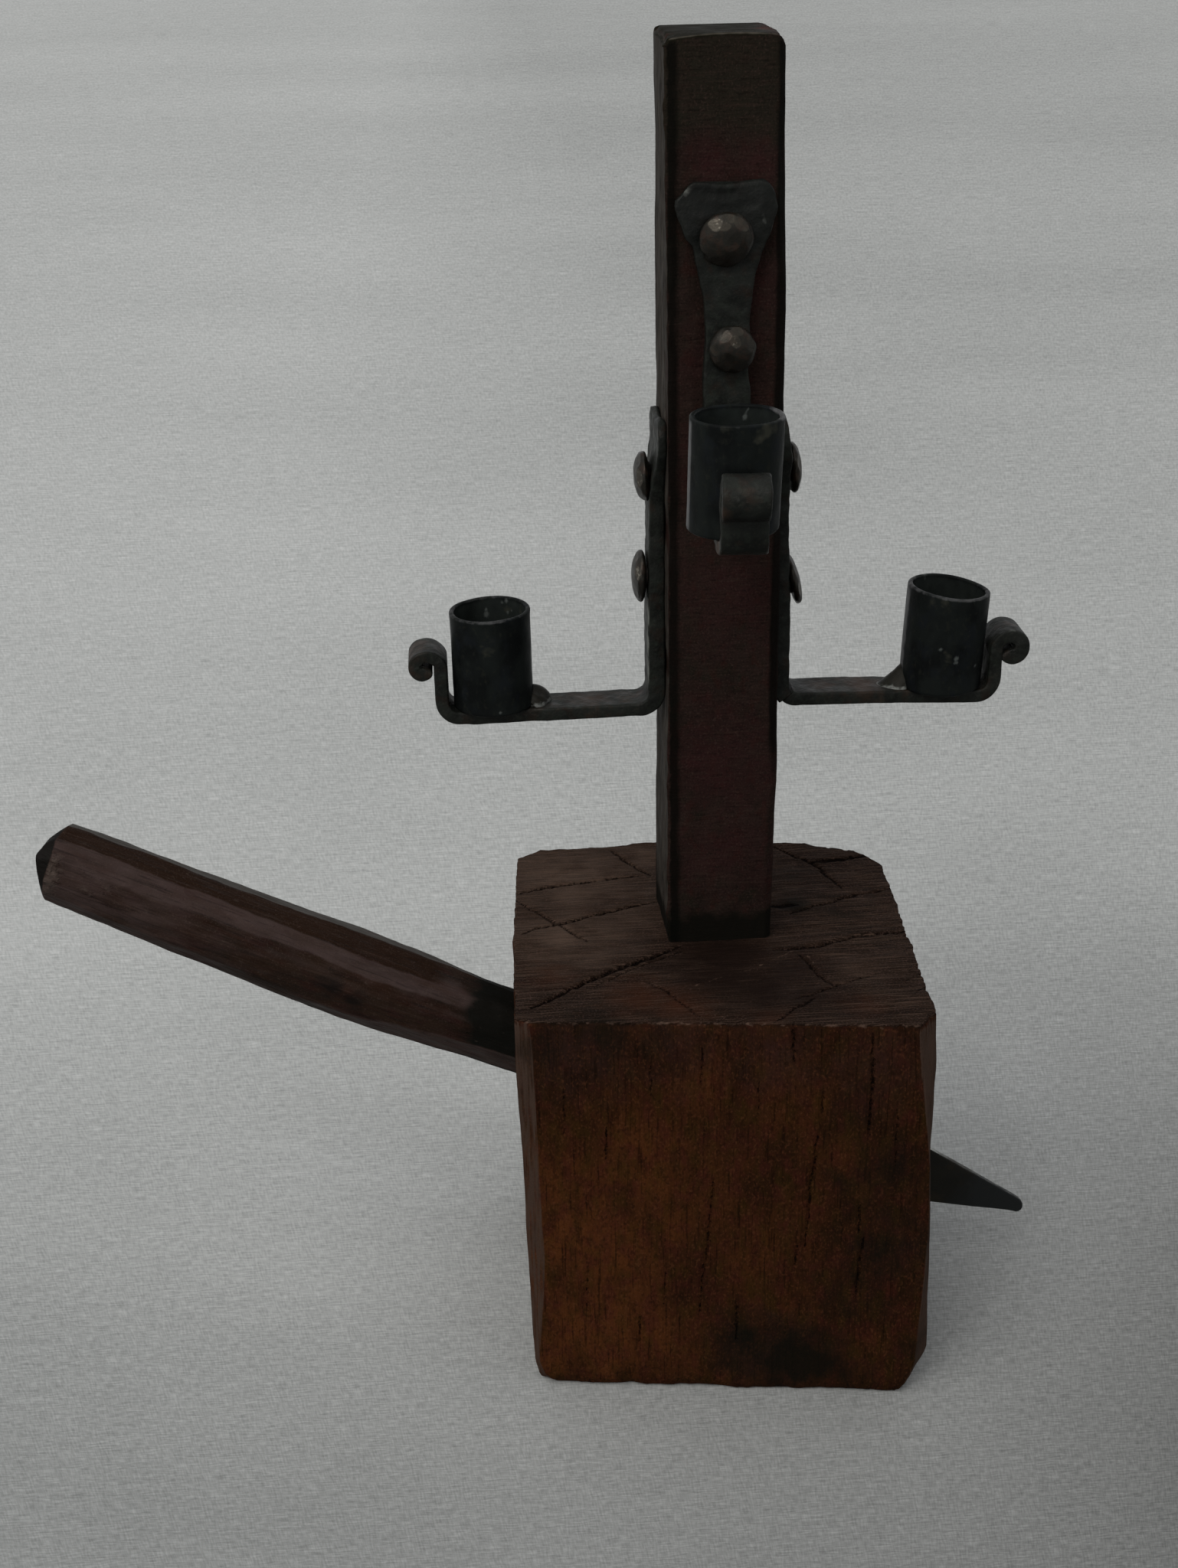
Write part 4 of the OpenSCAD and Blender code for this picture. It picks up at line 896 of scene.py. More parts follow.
cup = {
    "outside": 12.7, "inside": 11.2, "height": 31.0, "around": 144, "rows": 44, "seat": 4.3, "foot": 0.9, "lip": 0.5,
    # per cup, in mm: size against the tube's own, shift along and across its arm at the foot and at the rim, how much
    # higher the rim is than the tube, and how far it falls outward; then marks by bearing in degrees seen from above
    "each": {
        "front": {"wide": 0.99, "foot": (0, -1.9), "rim": (0, -0.9), "taller": 0.0, "fall": 0.0,
                  "lipLight": [(-180, 0.3), (-160, 0.0), (-112, 0.1), (-95, 0.25), (-80, 0), (-40, 0.2), (-20, 0.8), (20, 0.8), (40, 0.1), (65, 0.1), (84, 0.2), (100, 0), (165, 0), (180, 0.3)],
                  # painted reflections as pale bands: bearing, half width, lowest and highest height above the foot,
                  # strength
                  "bands": [(-176, 11, 0.5, 30, 1.1), (-8, 6, 2, 30.5, 1.3)],
                  # bearing, height, 1 outside or -1 inside, radius, strength
                  "smudge": [(-58, 29.2, 1, 3.8, 1.4), (-70, 27.6, 1, 3.2, 1.2), (-45, 28.8, 1, 2.6, 1.0), (-110, 30, 1, 3, 0.8), (-120, 27, 1, 2.5, 0.6)],
                  "wax": [(71, 27.6, -1, 1.1, 1.3), (69, 28.8, -1, 0.7, 1.0), (66, 29.8, -1, 0.6, 0.8)]},
        "left": {"wide": 0.985, "foot": (-0.8, 0), "rim": (-0.7, 0), "taller": 0.5, "fall": 0.3,
                 "lipLight": [(-180, 0.5), (-150, 0.3), (-115, 0.4), (-106, 0.6), (-78, 0.6), (-70, 0.4), (-30, 0.3), (0, 0.3), (60, 0.25), (110, 0.4), (150, 0.3), (180, 0.5)],
                 "bands": [(-173, 8, 18, 29, 0.55), (-9, 9, 8, 30, 0.6)],
                 "smudge": [(-96, 22, 1, 5, 0.7), (60, 27, -1, 3, 1.0), (25, 28, -1, 3, 1.0)],
                 "wax": [(95, 25.3, -1, 1.5, 1.3), (95, 27, -1, 0.9, 1.0), (68, 29.3, -1, 0.9, 1.1), (60, 29.8, -1, 1.2, 1.1),
                         (50, 27, -1, 0.9, 0.8), (58, 26.2, -1, 0.9, 0.8), (-82, 1.6, 1, 0.8, 1.0)]},
        "right": {"wide": 1.015, "foot": (0.0, 0), "rim": (1.6, 0), "taller": 1.4, "fall": 1.5,
                  "lipLight": [(-180, 0.6), (-165, 0.5), (-130, 0.4), (-100, 0.6), (-70, 0.6), (-40, 0.5), (-10, 0.5), (20, 0.3), (60, 0.15), (110, 0.15), (150, 0.45), (180, 0.6)],
                  "bands": [(178, 15, 4, 30, 0.9), (-20, 7, 12, 30, 0.5)],
                  "smudge": [(-106, 29.5, 1, 2.6, 0.9), (-95, 13, 1, 3.5, 0.7), (-125, 29, 1, 2.5, 0.8)],
                  "wax": [(119, 31.6, -1, 1.7, 1.2), (118, 29.6, -1, 0.8, 1.0), (-84, 12.6, 1, 1.0, 1.25), (-84, 11.2, 1, 1.0, 1.2),
                          (-107, 15.1, 1, 0.8, 1.0), (-50, 9.0, 1, 1.0, 0.8)]},
    },
}
welds = {
    "front": {"wide": 5.0, "high": 5.5, "span": 23, "hollow": 1.2, "seed": 1},
    "left": {"wide": 5.8, "high": 5.2, "span": 23, "hollow": 1.1, "seed": 2},
    "right": {"wide": 8.6, "high": 7.4, "span": 24, "hollow": 2.3, "seed": 3},
}


def bearingOf(points, centre):
    return np.degrees(np.arctan2(points[:, 1] - centre[:, 1], points[:, 0] - centre[:, 0]))


def apart(a, b):
    return np.abs((a - b + 180) % 360 - 180)


def makeCup(label, arm, own):
    o, i, h = cup["outside"], cup["inside"], cup["height"]
    lip = 0.35 * (o - i)
    rim = [((o + i) / 2 + (o - i) / 2 * math.cos(a), h - lip + lip * math.sin(a)) for a in np.linspace(0, math.pi, 9)]
    profile = [(o - cup["foot"], 0), (o - 0.45 * cup["foot"], 0.15 * cup["foot"]), (o - 0.12 * cup["foot"], 0.5 * cup["foot"])]
    profile += [(o, z) for z in np.linspace(1.1 * cup["foot"], h - 1, cup["rows"])]
    profile += rim + [(i, z) for z in np.linspace(h - 1.2, 0.0, cup["rows"])]
    profile = np.array(profile)
    n = cup["around"]
    turn = np.tile(np.linspace(0, 2 * math.pi, n, endpoint=False), len(profile))
    r, z = np.repeat(profile[:, 0], n), np.repeat(profile[:, 1], n)
    share = z / h
    ring = np.column_stack([np.cos(turn) * 13, np.sin(turn) * 13, z])
    wave = 0.16 * rough(ring, (13, 13, 22), 70 + arm["seed"], 2) + 0.05 * rough(ring, (4, 4, 5), 73 + arm["seed"], 2)
    wide = own["wide"] + (1.0 - own["wide"]) * smooth(z, h - 3, h) * cup["lip"]
    local = np.column_stack([(r * wide + wave) * np.cos(turn), (r * wide + wave) * np.sin(turn), z])
    local[:, 0] += own["foot"][0] + (own["rim"][0] - own["foot"][0]) * share
    local[:, 1] += own["foot"][1] + (own["rim"][1] - own["foot"][1]) * share
    local[:, 2] += share * (own["taller"] - own["fall"] * np.cos(turn)) + 0.10 * smooth(z, h - 4, h) * np.sin(3 * turn + arm["seed"])
    seat = np.array([arm["reach"] - strap["postFace"], 0, cup["seat"]])
    points = placeOnPost(swungPoints(local + seat, arm), arm)
    axis = np.column_stack([local[:, 0] - r * wide * np.cos(turn), local[:, 1] - r * wide * np.sin(turn), z])
    centre = placeOnPost(swungPoints(axis + seat, arm), arm)
    bearing = bearingOf(points, centre)
    wall = np.where(np.arange(len(profile)) < 3 + cup["rows"] + 4, 1, -1).repeat(n)

    def spots(listed):
        value = np.zeros(len(points))
        for at, high, side, radius, strength in listed:
            across = o * np.radians(apart(bearing, at))
            value = np.maximum(value, strength * (1 - np.hypot(across, z - high) / radius) * (wall == side))
        return value

    # painted reflections: a pale line round the rim and pale bands down the sides
    light = np.interp(bearing, *zip(*own["lipLight"])) * (1 - smooth(np.abs(z - h + 0.1), 0.3, 1.1)) * 1.1
    for at, half, low, high, strength in own["bands"]:
        ends = smooth(z, low - 2, low + 1) * (1 - smooth(z, high - 1, high + 1.5))
        light = np.maximum(light, strength * (1 - (apart(bearing, at) / half) ** 4).clip(0) * ends * (wall == 1))
    faces = ringFaces(len(profile), n)
    last = (len(profile) - 1) * n
    faces += [[last + j, last + (j + 1) % n, (j + 1) % n, j] for j in range(n)]
    # the inner wall is painted paler against its shade
    marks = {"wearAndSheen": light, "smudge": spots(own["smudge"]), "wax": spots(own["wax"]), "inside": (wall == -1) * (1 - smooth(z, h - 1.4, h - 0.6))}
    return makePiece(label + "Cup", points, faces, blackTube, [label + "_cup"], marks)


def makeWeld(label, arm, look):
    rows, steps = 40, 14
    own = cup["each"][label]
    sweep = np.radians(np.linspace(180 - look["span"], 180 + look["span"], rows))
    rings = []
    for k, angle in enumerate(sweep):
        share = k / (rows - 1)
        full = math.sin(math.pi * min(max(share, 0.02), 0.98)) ** 0.4
        lump = 1 + 0.10 * math.sin(share * 9 + look["seed"])
        wide, high = look["wide"] * full * lump, look["high"] * full * lump
        section = [(12.2, 0.0)] + [(12.2 + wide * math.cos(a) ** look["hollow"], high * math.sin(a) ** look["hollow"]) for a in np.linspace(0, math.pi / 2, steps)]
        rings.append([(r * math.cos(angle), r * math.sin(angle), z) for r, z in section])
    around = steps + 1
    local = np.array(rings).reshape(-1, 3)
    local[:, 0] += own["foot"][0]
    local[:, 1] = np.clip(local[:, 1] + own["foot"][1] * 0.5, -6.8, 6.8)
    local[:, 2] += 0.22 * rough(local, 3.2, 75 + look["seed"], 2) * (local[:, 2] > 0.4)
    low = local[:, 2].copy()
    faces = ringFaces(rows, around) + [list(range(around)), [(rows - 1) * around + j for j in range(around)]]
    local += np.array([arm["reach"] - strap["postFace"], 0, cup["seat"] - 0.1])
    points = placeOnPost(swungPoints(local, arm), arm)
    chips = (1 - smooth(low, 0.8, 2.6)) * (points[:, 1] < 2)
    return makePiece(label + "Weld", points, faces, weldMetal, [label + "_weld"], {"chips": chips})


for label, arm in arms.items():
    makeCup(label, arm, cup["each"][label])
    makeWeld(label, arm, welds[label])
print("cups and welds made")



nails = {
    "seat": 4.2,
    # per nail: its arm, height above the underside, shift across, stand off the strap, head width and height in mm,
    # tilt and turn in degrees, seed, then its larger hammer facets as (across, up, depth in mm, strength of its painted
    # highlight)
    "heads": [
        {"name": "frontNailUpper", "node": "front_nail_upper", "arm": "front", "height": 72.3, "across": -0.85, "stand": 0.0,
         "wide": 15.4, "high": 5.2, "tilt": 4, "turn": 10, "seed": 3,
         "facets": [(-0.30, 0.40, 0.30, 1.0), (-0.06, 0.33, 0.2, 0.9), (-0.5, 0.22, 0.2, 0.6), (0.02, 0.62, 0.3, 0.5), (0.36, 0.46, 0.3, 0.7), (0.12, 0.02, 0.28, 0.15), (0.62, 0.02, 0.3, 0.2),
                    (-0.62, -0.05, 0.3, 0.25), (-0.2, -0.5, 0.35, 0), (0.35, -0.45, 0.35, 0)]},
        {"name": "frontNailLower", "node": "front_nail_lower", "arm": "front", "height": 41.5, "across": 1.15, "stand": 0.0,
         "wide": 13.7, "high": 5.0, "tilt": 2, "turn": 40, "seed": 8,
         "facets": [(0.06, 0.24, 0.22, 0.9), (-0.25, 0.42, 0.25, 0.5), (-0.6, 0.05, 0.3, 0.5), (0.5, 0.25, 0.35, 0.3), (0.1, 0.62, 0.3, 0.6),
                    (-0.15, -0.25, 0.3, 0.2), (0.3, -0.5, 0.3, 0), (-0.35, -0.5, 0.3, 0)]},
        {"name": "leftNailUpper", "node": "left_nail_upper", "arm": "left", "height": 76.1, "across": 0.0, "stand": -0.3,
         "wide": 15.2, "high": 4.4, "tilt": 2, "turn": 0, "seed": 5,
         "facets": [(0.45, 0.1, 0.3, 1.0), (0.35, -0.35, 0.3, 0.3), (0.2, 0.5, 0.3, 0.5), (-0.4, 0.2, 0.3, 0.3)]},
        {"name": "leftNailLower", "node": "left_nail_lower", "arm": "left", "height": 44.4, "across": 0.0, "stand": 1.0,
         "wide": 16.2, "high": 4.1, "tilt": -2, "turn": 30, "seed": 6,
         "facets": [(0.42, 0.25, 0.25, 1.2), (0.3, -0.3, 0.25, 0.2), (0.1, 0.5, 0.25, 0.5), (-0.4, 0.0, 0.25, 0.3)]},
        {"name": "rightNailUpper", "node": "right_nail_upper", "arm": "right", "height": 77.0, "across": 0.0, "stand": 0.7,
         "wide": 15.8, "high": 3.8, "tilt": -3, "turn": 20, "seed": 7,
         "facets": [(-0.42, 0.2, 0.3, 0.8), (-0.3, -0.3, 0.3, 0.2), (0.1, 0.5, 0.3, 0.4), (0.4, 0.0, 0.3, 0.2)]},
        {"name": "rightNailLower", "node": "right_nail_lower", "arm": "right", "height": 40.8, "across": 0.0, "stand": 1.5,
         "wide": 16.2, "high": 3.4, "tilt": -13, "turn": 50, "seed": 4,
         "facets": [(-0.4, -0.1, 0.3, 1.0), (-0.2, 0.45, 0.25, 0.3), (0.2, -0.4, 0.3, 0.1), (0.4, 0.2, 0.3, 0.2)]},
    ],
}


def buildNailTree():
    tree = bpy.data.node_groups.new("forged nail head", "GeometryNodeTree")
    for label, kind, value in (("Head width", "NodeSocketFloat", 0.016), ("Head height", "NodeSocketFloat", 0.0048),
                               ("Rim height", "NodeSocketFloat", 0.0013), ("Hammering", "NodeSocketFloat", 0.045),
                               ("Neck width", "NodeSocketFloat", 0.0085), ("Stand", "NodeSocketFloat", 0.0),
                               ("Shank width", "NodeSocketFloat", 0.0042), ("Shank length", "NodeSocketFloat", 0.012),
                               ("Seed", "NodeSocketInt", 1), ("Iron", "NodeSocketMaterial", None)):
        socket = tree.interface.new_socket(label, in_out="INPUT", socket_type=kind)
        if value is not None:
            socket.default_value = value
    tree.interface.new_socket("Geometry", in_out="OUTPUT", socket_type="NodeSocketGeometry")
    given = tree.nodes.new("NodeGroupInput").outputs
    ball = add(tree, "GeometryNodeMeshIcoSphere", {"Radius": 1.0, "Subdivisions": 3})
    push = add(tree, "FunctionNodeRandomValue", {"Min": (-1, -1, -1), "Max": (1, 1, 1), "Seed": given["Seed"]}, data_type="FLOAT_VECTOR")
    push = add(tree, "ShaderNodeVectorMath", {"Vector": push, "Scale": given["Hammering"]}, operation="SCALE")
    ball = add(tree, "GeometryNodeSetPosition", {"Geometry": ball, "Offset": push})
    # the lower half is pressed flat, the upper half becomes the dome above a low rim
    parts = add(tree, "ShaderNodeSeparateXYZ", {"Vector": add(tree, "GeometryNodeInputPosition")}).node.outputs
    rim = add(tree, "ShaderNodeMapRange", {"Value": parts["Z"], "From Min": -0.55, "From Max": 0.0, "To Min": 0.0, "To Max": given["Rim height"]})
    domeHigh = add(tree, "ShaderNodeMath", {"Value": given["Head height"], "Value_001": given["Rim height"]}, operation="SUBTRACT")
    dome = add(tree, "ShaderNodeMapRange", {"Value": parts["Z"], "From Min": 0.0, "From Max": 1.0, "To Min": 0.0, "To Max": domeHigh})
    high = add(tree, "ShaderNodeMath", {"Value": rim, "Value_001": dome}, operation="ADD")
    high = add(tree, "ShaderNodeMath", {"Value": high, "Value_001": given["Stand"]}, operation="ADD")
    half = add(tree, "ShaderNodeMath", {"Value": given["Head width"], "Value_001": 0.5}, operation="MULTIPLY")
    x = add(tree, "ShaderNodeMath", {"Value": parts["X"], "Value_001": half}, operation="MULTIPLY")
    y = add(tree, "ShaderNodeMath", {"Value": parts["Y"], "Value_001": half}, operation="MULTIPLY")
    ball = add(tree, "GeometryNodeSetPosition", {"Geometry": ball, "Position": add(tree, "ShaderNodeCombineXYZ", {"X": x, "Y": y, "Z": high})})
    ball = add(tree, "GeometryNodeSubdivisionSurface", {"Mesh": ball, "Level": 3, "Edge Crease": 0.12})
    # a thick neck under the head, and a four-sided shank below it
    neckHalf = add(tree, "ShaderNodeMath", {"Value": given["Neck width"], "Value_001": 0.5}, operation="MULTIPLY")
    neckHigh = add(tree, "ShaderNodeMath", {"Value": given["Stand"], "Value_001": 0.0016}, operation="ADD")
    neck = add(tree, "GeometryNodeMeshCone", {"Vertices": 24, "Radius Top": neckHalf, "Radius Bottom": neckHalf, "Depth": neckHigh})
    neck = add(tree, "GeometryNodeTransform", {"Geometry": neck, "Translation": (0, 0, -0.0008)})
    wide = add(tree, "ShaderNodeMath", {"Value": given["Shank width"], "Value_001": 0.707}, operation="MULTIPLY")
    shank = add(tree, "GeometryNodeMeshCone", {"Vertices": 4, "Radius Top": wide, "Radius Bottom": 0.0006, "Depth": given["Shank length"]})
    drop = add(tree, "ShaderNodeMath", {"Value": given["Shank length"], "Value_001": -1.0, "Value_002": 0.0005}, operation="MULTIPLY_ADD")
    shank = add(tree, "GeometryNodeTransform", {"Geometry": shank, "Translation": add(tree, "ShaderNodeCombineXYZ", {"Z": drop})})
    joined = tree.nodes.new("GeometryNodeJoinGeometry")
    for part in (ball, neck, shank):
        tree.links.new(part, joined.inputs[0])
    real = add(tree, "GeometryNodeRealizeInstances", {"Geometry": joined.outputs[0]})
    dressed = add(tree, "GeometryNodeSetMaterial", {"Geometry": real, "Material": given["Iron"]})
    tree.links.new(dressed, tree.nodes.new("NodeGroupOutput").inputs[0])
    return tree


def makeNail(tree, nail):
    arm = arms[nail["arm"]]
    holder = bpy.data.objects.new("nailHolder", bpy.data.meshes.new("nailHolder"))
    bpy.context.scene.collection.objects.link(holder)
    modifier = holder.modifiers.new("nail", "NODES")
    modifier.node_group = tree
    values = {"Head width": nail["wide"] * mm, "Head height": nail["high"] * mm, "Stand": nail["stand"] * mm,
              "Seed": nail["seed"], "Iron": nailIron}
    for item in tree.interface.items_tree:
        if item.in_out == "INPUT" and item.name in values:
            modifier[item.identifier] = values[item.name]
    bpy.context.view_layer.update()
    mesh = bpy.data.meshes.new_from_object(holder.evaluated_get(bpy.context.evaluated_depsgraph_get()))
    bpy.data.objects.remove(holder)
    mesh.transform(Matrix.Rotation(math.radians(nail["turn"]), 4, "Z"))
    points = np.empty(len(mesh.vertices) * 3)
    mesh.vertices.foreach_get("co", points)
    points = points.reshape(-1, 3) / mm
    paintedHighlight = np.zeros(len(points))
    half, high = nail["wide"] / 2, nail["high"] - 1.3
    # each facet is cut flat and given its painted highlight
    for across, up, deep, bright in nail["facets"]:
        # the head's x axis points down the strap and its z axis out of it
        n = np.array([-up, across, math.sqrt(1 - up * up - across * across)])
        reach = math.hypot(half * math.hypot(n[0], n[1]), high * n[2]) + (1.3 + nail["stand"]) * n[2] - deep
        over = np.clip(points @ n - reach, 0, None)
        points -= over[:, None] * n
        paintedHighlight = np.maximum(paintedHighlight, bright * (over > 0))
    mesh.vertices.foreach_set("co", (points * mm).ravel())
    marks = {"paintedHighlight": paintedHighlight, "shade": smooth(points[:, 0] / half, 0.05, 0.75)}
    for label, value in marks.items():
        layer = mesh.attributes.new(label, "FLOAT", "POINT")
        layer.data.foreach_set("value", value.astype(np.float32))
    lean = Matrix.Rotation(math.radians(90 + nail["tilt"]), 4, "Y")
    out = Matrix.Translation(((strap["postFace"] + nails["seat"] + arm["plumb"][1]) * mm, nail["across"] * mm, (arm["low"] + nail["height"]) * mm))
    mesh.transform(Matrix.Rotation(math.radians(arm["turn"]), 4, "Z") @ out @ lean)
    mesh.name = nail["name"]
    return dress(bpy.data.objects.new(nail["name"], mesh), nailIron, [nail["node"]])


nailTree = buildNailTree()
for nail in nails["heads"]:
    makeNail(nailTree, nail)
print("nails made")



tool = {"y": -7.5, "z": 73.0}


def alongTool(points):
    # from the tool's own frame (along, to the viewer, up) to the object's, in mm
    c, s = math.cos(toolSlope), math.sin(toolSlope)
    along, out, up = points[:, 0], points[:, 1], points[:, 2]
    return np.column_stack([along * c + up * s, tool["y"] - out, tool["z"] - along * s + up * c])


handle = {
    # stations along the tool, each with the size across and the facet edges as angles from its top towards the viewer
    "stations": [
        (-240.0, 24.8, [0, 32, 64, 95, 118, 150, 185, 222, 262, 300, 332]),
        (-229.0, 25.3, [-1, 32, 64, 93, 118, 150, 185, 222, 262, 300, 332]),
        (-219.0, 25.8, [1, 31, 64, 95, 117, 150, 184, 222, 262, 300, 333]),
        (-207.0, 26.3, [-3, 33, 64, 95, 117, 149, 184, 222, 263, 300, 332]),
        (-194.0, 26.9, [0, 33, 63, 93, 117, 148, 183, 221, 263, 301, 332]),
        (-181.0, 27.1, [1, 34, 62, 88, 117, 147, 182, 221, 263, 301, 333]),
        (-168.0, 27.7, [0, 35, 60, 85, 117, 147, 182, 221, 262, 301, 333]),
        (-156.0, 28.2, [1, 35, 58, 84, 117, 147, 182, 221, 262, 302, 333]),
        (-142.0, 28.9, [1, 38, 60, 86, 119, 148, 183, 221, 262, 302, 333]),
        (-128.0, 29.0, [0, 41, 63, 86, 120, 149, 184, 222, 262, 302, 333]),
        (-117.0, 28.3, [-1, 39, 61, 84, 112, 148, 184, 222, 262, 302, 332]),
        (-104.0, 27.1, [-5, 37, 58, 80, 107, 144, 183, 222, 262, 302, 330]),
        (-90.0, 25.9, [-6, 34, 56, 79, 102, 140, 182, 221, 262, 302, 330]),
        (-50.0, 25.7, [-6, 32, 56, 79, 100, 138, 182, 221, 262, 302, 330]),
    ],
    # how far the handle's middle bows off the tool's line
    "bow": [(-240, 1.8), (-227, 1.7), (-209, 1.0), (-195, 0.6), (-176, 0.1), (-160, -0.5), (-98, -0.9), (-50, -0.7)],
    # where each facet edge meets the cut end, and the place of the end's highest point
    "rim": [-236.4, -238.0, -237.4, -237.3, -236.4, -235.4, -234.0, -233.5, -233.5, -234.2, -235.2],
    "apex": (-240.9, 10.5, 3.6), "limit": -215.35,
    "facetSteps": 8, "step": 1.0, "edge": 1.035,
    # how much painted sheen and how orange each facet is, and where the painted grey sheen lies; the first number is
    # the strip that starts at the first edge
    "paintedSheen": [0.05, 0.75, 0.25, 0.1, 0.75, 0.3, 0.3, 0.3, 0.3, 0.4, 0.5],
    # painted grey sheen on the top strip and on the bottom strip towards the block
    "grey": [0, 0, 0, 0, 0.45, 0, 0, 0, 0, 0, 1.0],
    "orange": [0.95, 0.1, 0.35, 0.25, 0.0, 0.2, 0.2, 0.2, 0.2, 0.2, 0.0],
    # patches in the tool's frame as (along, to the viewer, up, radius in mm, strength)
    "wearAndSheen": [(-237, 11.5, 8, 4, 1.0), (-236.5, 13, 4.5, 4.5, 1.4), (-236, 13.2, 1, 4.5, 1.4), (-235.5, 12.4, -3, 4, 1.2),
             (-224, 12, 2, 4, 0.5), (-218, 12.4, 5, 4, 0.5)],
    "dark": [(-142, 14.3, 0, 8, 1.1), (-133, 14.3, -3, 7, 0.9), (-160, 14, -4, 9, 0.5)],
    # painted mauve sheen spread over the facets
    "pink": [(-228, 12.5, 0, 26, 0.95), (-204, 12.8, 1, 30, 0.75), (-180, 13, 1, 26, 0.45), (-232, 11, -6, 12, 0.8), (-103, 9, 13, 8, 1.2), (-98, 11, 10, 7, 1.0), (-110, 6, 14, 6, 0.8)],
}


def makeHandle():
    stations = handle["stations"]
    at = np.array([s[0] for s in stations])
    size = np.array([s[1] for s in stations])
    angles = np.array([s[2] for s in stations], float)
    facets, steps = angles.shape[1], handle["facetSteps"]
    around = facets * steps
    start = np.repeat(handle["rim"], steps) + np.tile(np.arange(steps) / steps, facets) * np.repeat(
        np.roll(handle["rim"], -1) - np.array(handle["rim"]), steps)
    rings = []
    rowCount = int((-52 + 238) / handle["step"])
    for share in np.linspace(0, 1, rowCount):
        x = start + (-52 - start) * share
        mid = x.mean()
        edge = np.array([np.interp(mid, at, angles[:, k]) + 1.9 * noise.noise((mid / 9, k * 3.1, 0.7))
                         + 1.5 * noise.noise((mid / 3.2, k * 5.1, 2.7)) for k in range(facets)])
        r = np.interp(mid, at, size) / 2 * handle["edge"]
        radius = r * (1 + np.array([0.014 * noise.noise((mid / 14, k * 2.3, 5.5)) + 0.008 * noise.noise((mid / 4, k * 4.3, 8.5)) for k in range(facets)]))
        a = np.radians(edge)
        spots = np.column_stack([radius * np.sin(a), radius * np.cos(a) + np.interp(mid, *zip(*handle["bow"]))])
        ring = [spots[k] + (spots[(k + 1) % facets] - spots[k]) * (np.arange(steps) / steps)[:, None] for k in range(facets)]
        rings.append(np.column_stack([x, np.concatenate(ring)]))
    side = np.array(rings)
    out = side - side.mean(1, keepdims=True)
    out[:, :, 0] = 0
    out /= np.linalg.norm(out, axis=2)[..., None]
    flat = side.reshape(-1, 3)
    hew = 0.26 * rough(flat, (20, 6, 6), 90, 3) + 0.09 * rough(flat, (9, 1.7, 1.7), 91, 2)
    flat = flat + out.reshape(-1, 3) * hew[:, None]
    # the end is cut nearly square, with a low hewn rise towards its middle
    end = []
    first, apex = flat[:around], np.array(handle["apex"])
    for share in np.linspace(0, 1, 14)[1:-1]:
        ring = first + (apex - first) * share
        swell = 0.9 + 1.7 * smooth(first[:, 2], -4, 8)
        ring[:, 0] += (0.7 * rough(ring, 6, 93, 2) - swell) * math.sin(math.pi * share)
        end.append(ring)
    points = np.concatenate([apex[None]] + end[::-1] + [flat])
    # nothing reaches beyond the solid part's own end
    c, s = math.cos(toolSlope), math.sin(toolSlope)
    over = np.clip(handle["limit"] - (points[:, 0] * c + points[:, 2] * s), 0, None)
    points[:, 0] += over / c
    total = len(end) + rowCount
    faces = [[0, 1 + (j + 1) % around, 1 + j] for j in range(around)] + ringFaces(total, around, 1)
    faces.append([1 + (total - 1) * around + j for j in range(around)])
    facet = np.tile(np.repeat(np.arange(facets), steps), total)
    sides = np.concatenate([[0.0], (np.arange(total * around) >= len(end) * around).astype(float)])
    tone = np.concatenate([[0.0], np.array(handle["paintedSheen"])[facet]]) * sides
    orange = np.concatenate([[0.0], np.array(handle["orange"])[facet]]) * sides
    x, y, z = points.T
    # the bottom strip takes its painted sheen only towards the block
    near = np.where(facet == 4, smooth(x[1:], -152, -126), 1.0)
    tone[1:] *= near
    # the orange strip runs out in a point and the painted mauve sheen follows it
    orange *= 1 - smooth(x, -114, -102)
    tone = np.maximum(tone, spotMarks(points, handle["pink"]))
    slant = x + 3.0 * np.sin(z / 4.5) + 2.0 * rough(points, (5, 5, 5), 94, 2)
    grey = np.concatenate([[0.0], np.array(handle["grey"])[facet] * near]) * sides
    # darker black-green towards the block
    marks = {"tone": tone, "warm": orange, "grey": grey, "stainAndShade": smooth(slant, -99, -89) * np.concatenate([[1.0], np.where(facet == 4, 0.15, 1.0)]), "end": 1 - sides,
             "wearAndSheen": spotMarks(points, handle["wearAndSheen"]) * sides, "dark": spotMarks(points, handle["dark"]) * sides}
    return makePiece("hewnHandle", alongTool(points), faces, handleWood, ["side_handle"], marks)


makeHandle()

blade = {
    # places along the tool with the blade's upper and lower edge
    "edges": [(30, 13.5, -13.5), (66, 13.4, -13.6), (78, 11.0, -11.4), (89, 9.1, -8.9), (99, 7.4, -6.5), (108, 5.9, -4.3),
              (113, 5.1, -2.9), (117, 4.4, -1.9), (118.7, 4.0, -1.6), (120.2, 3.3, -1.4), (121.0, 2.6, -1.0), (121.5, 1.6, -0.2)],
    "thick": 1.25, "corner": 0.5, "step": 0.8, "tip": 121.5,
}


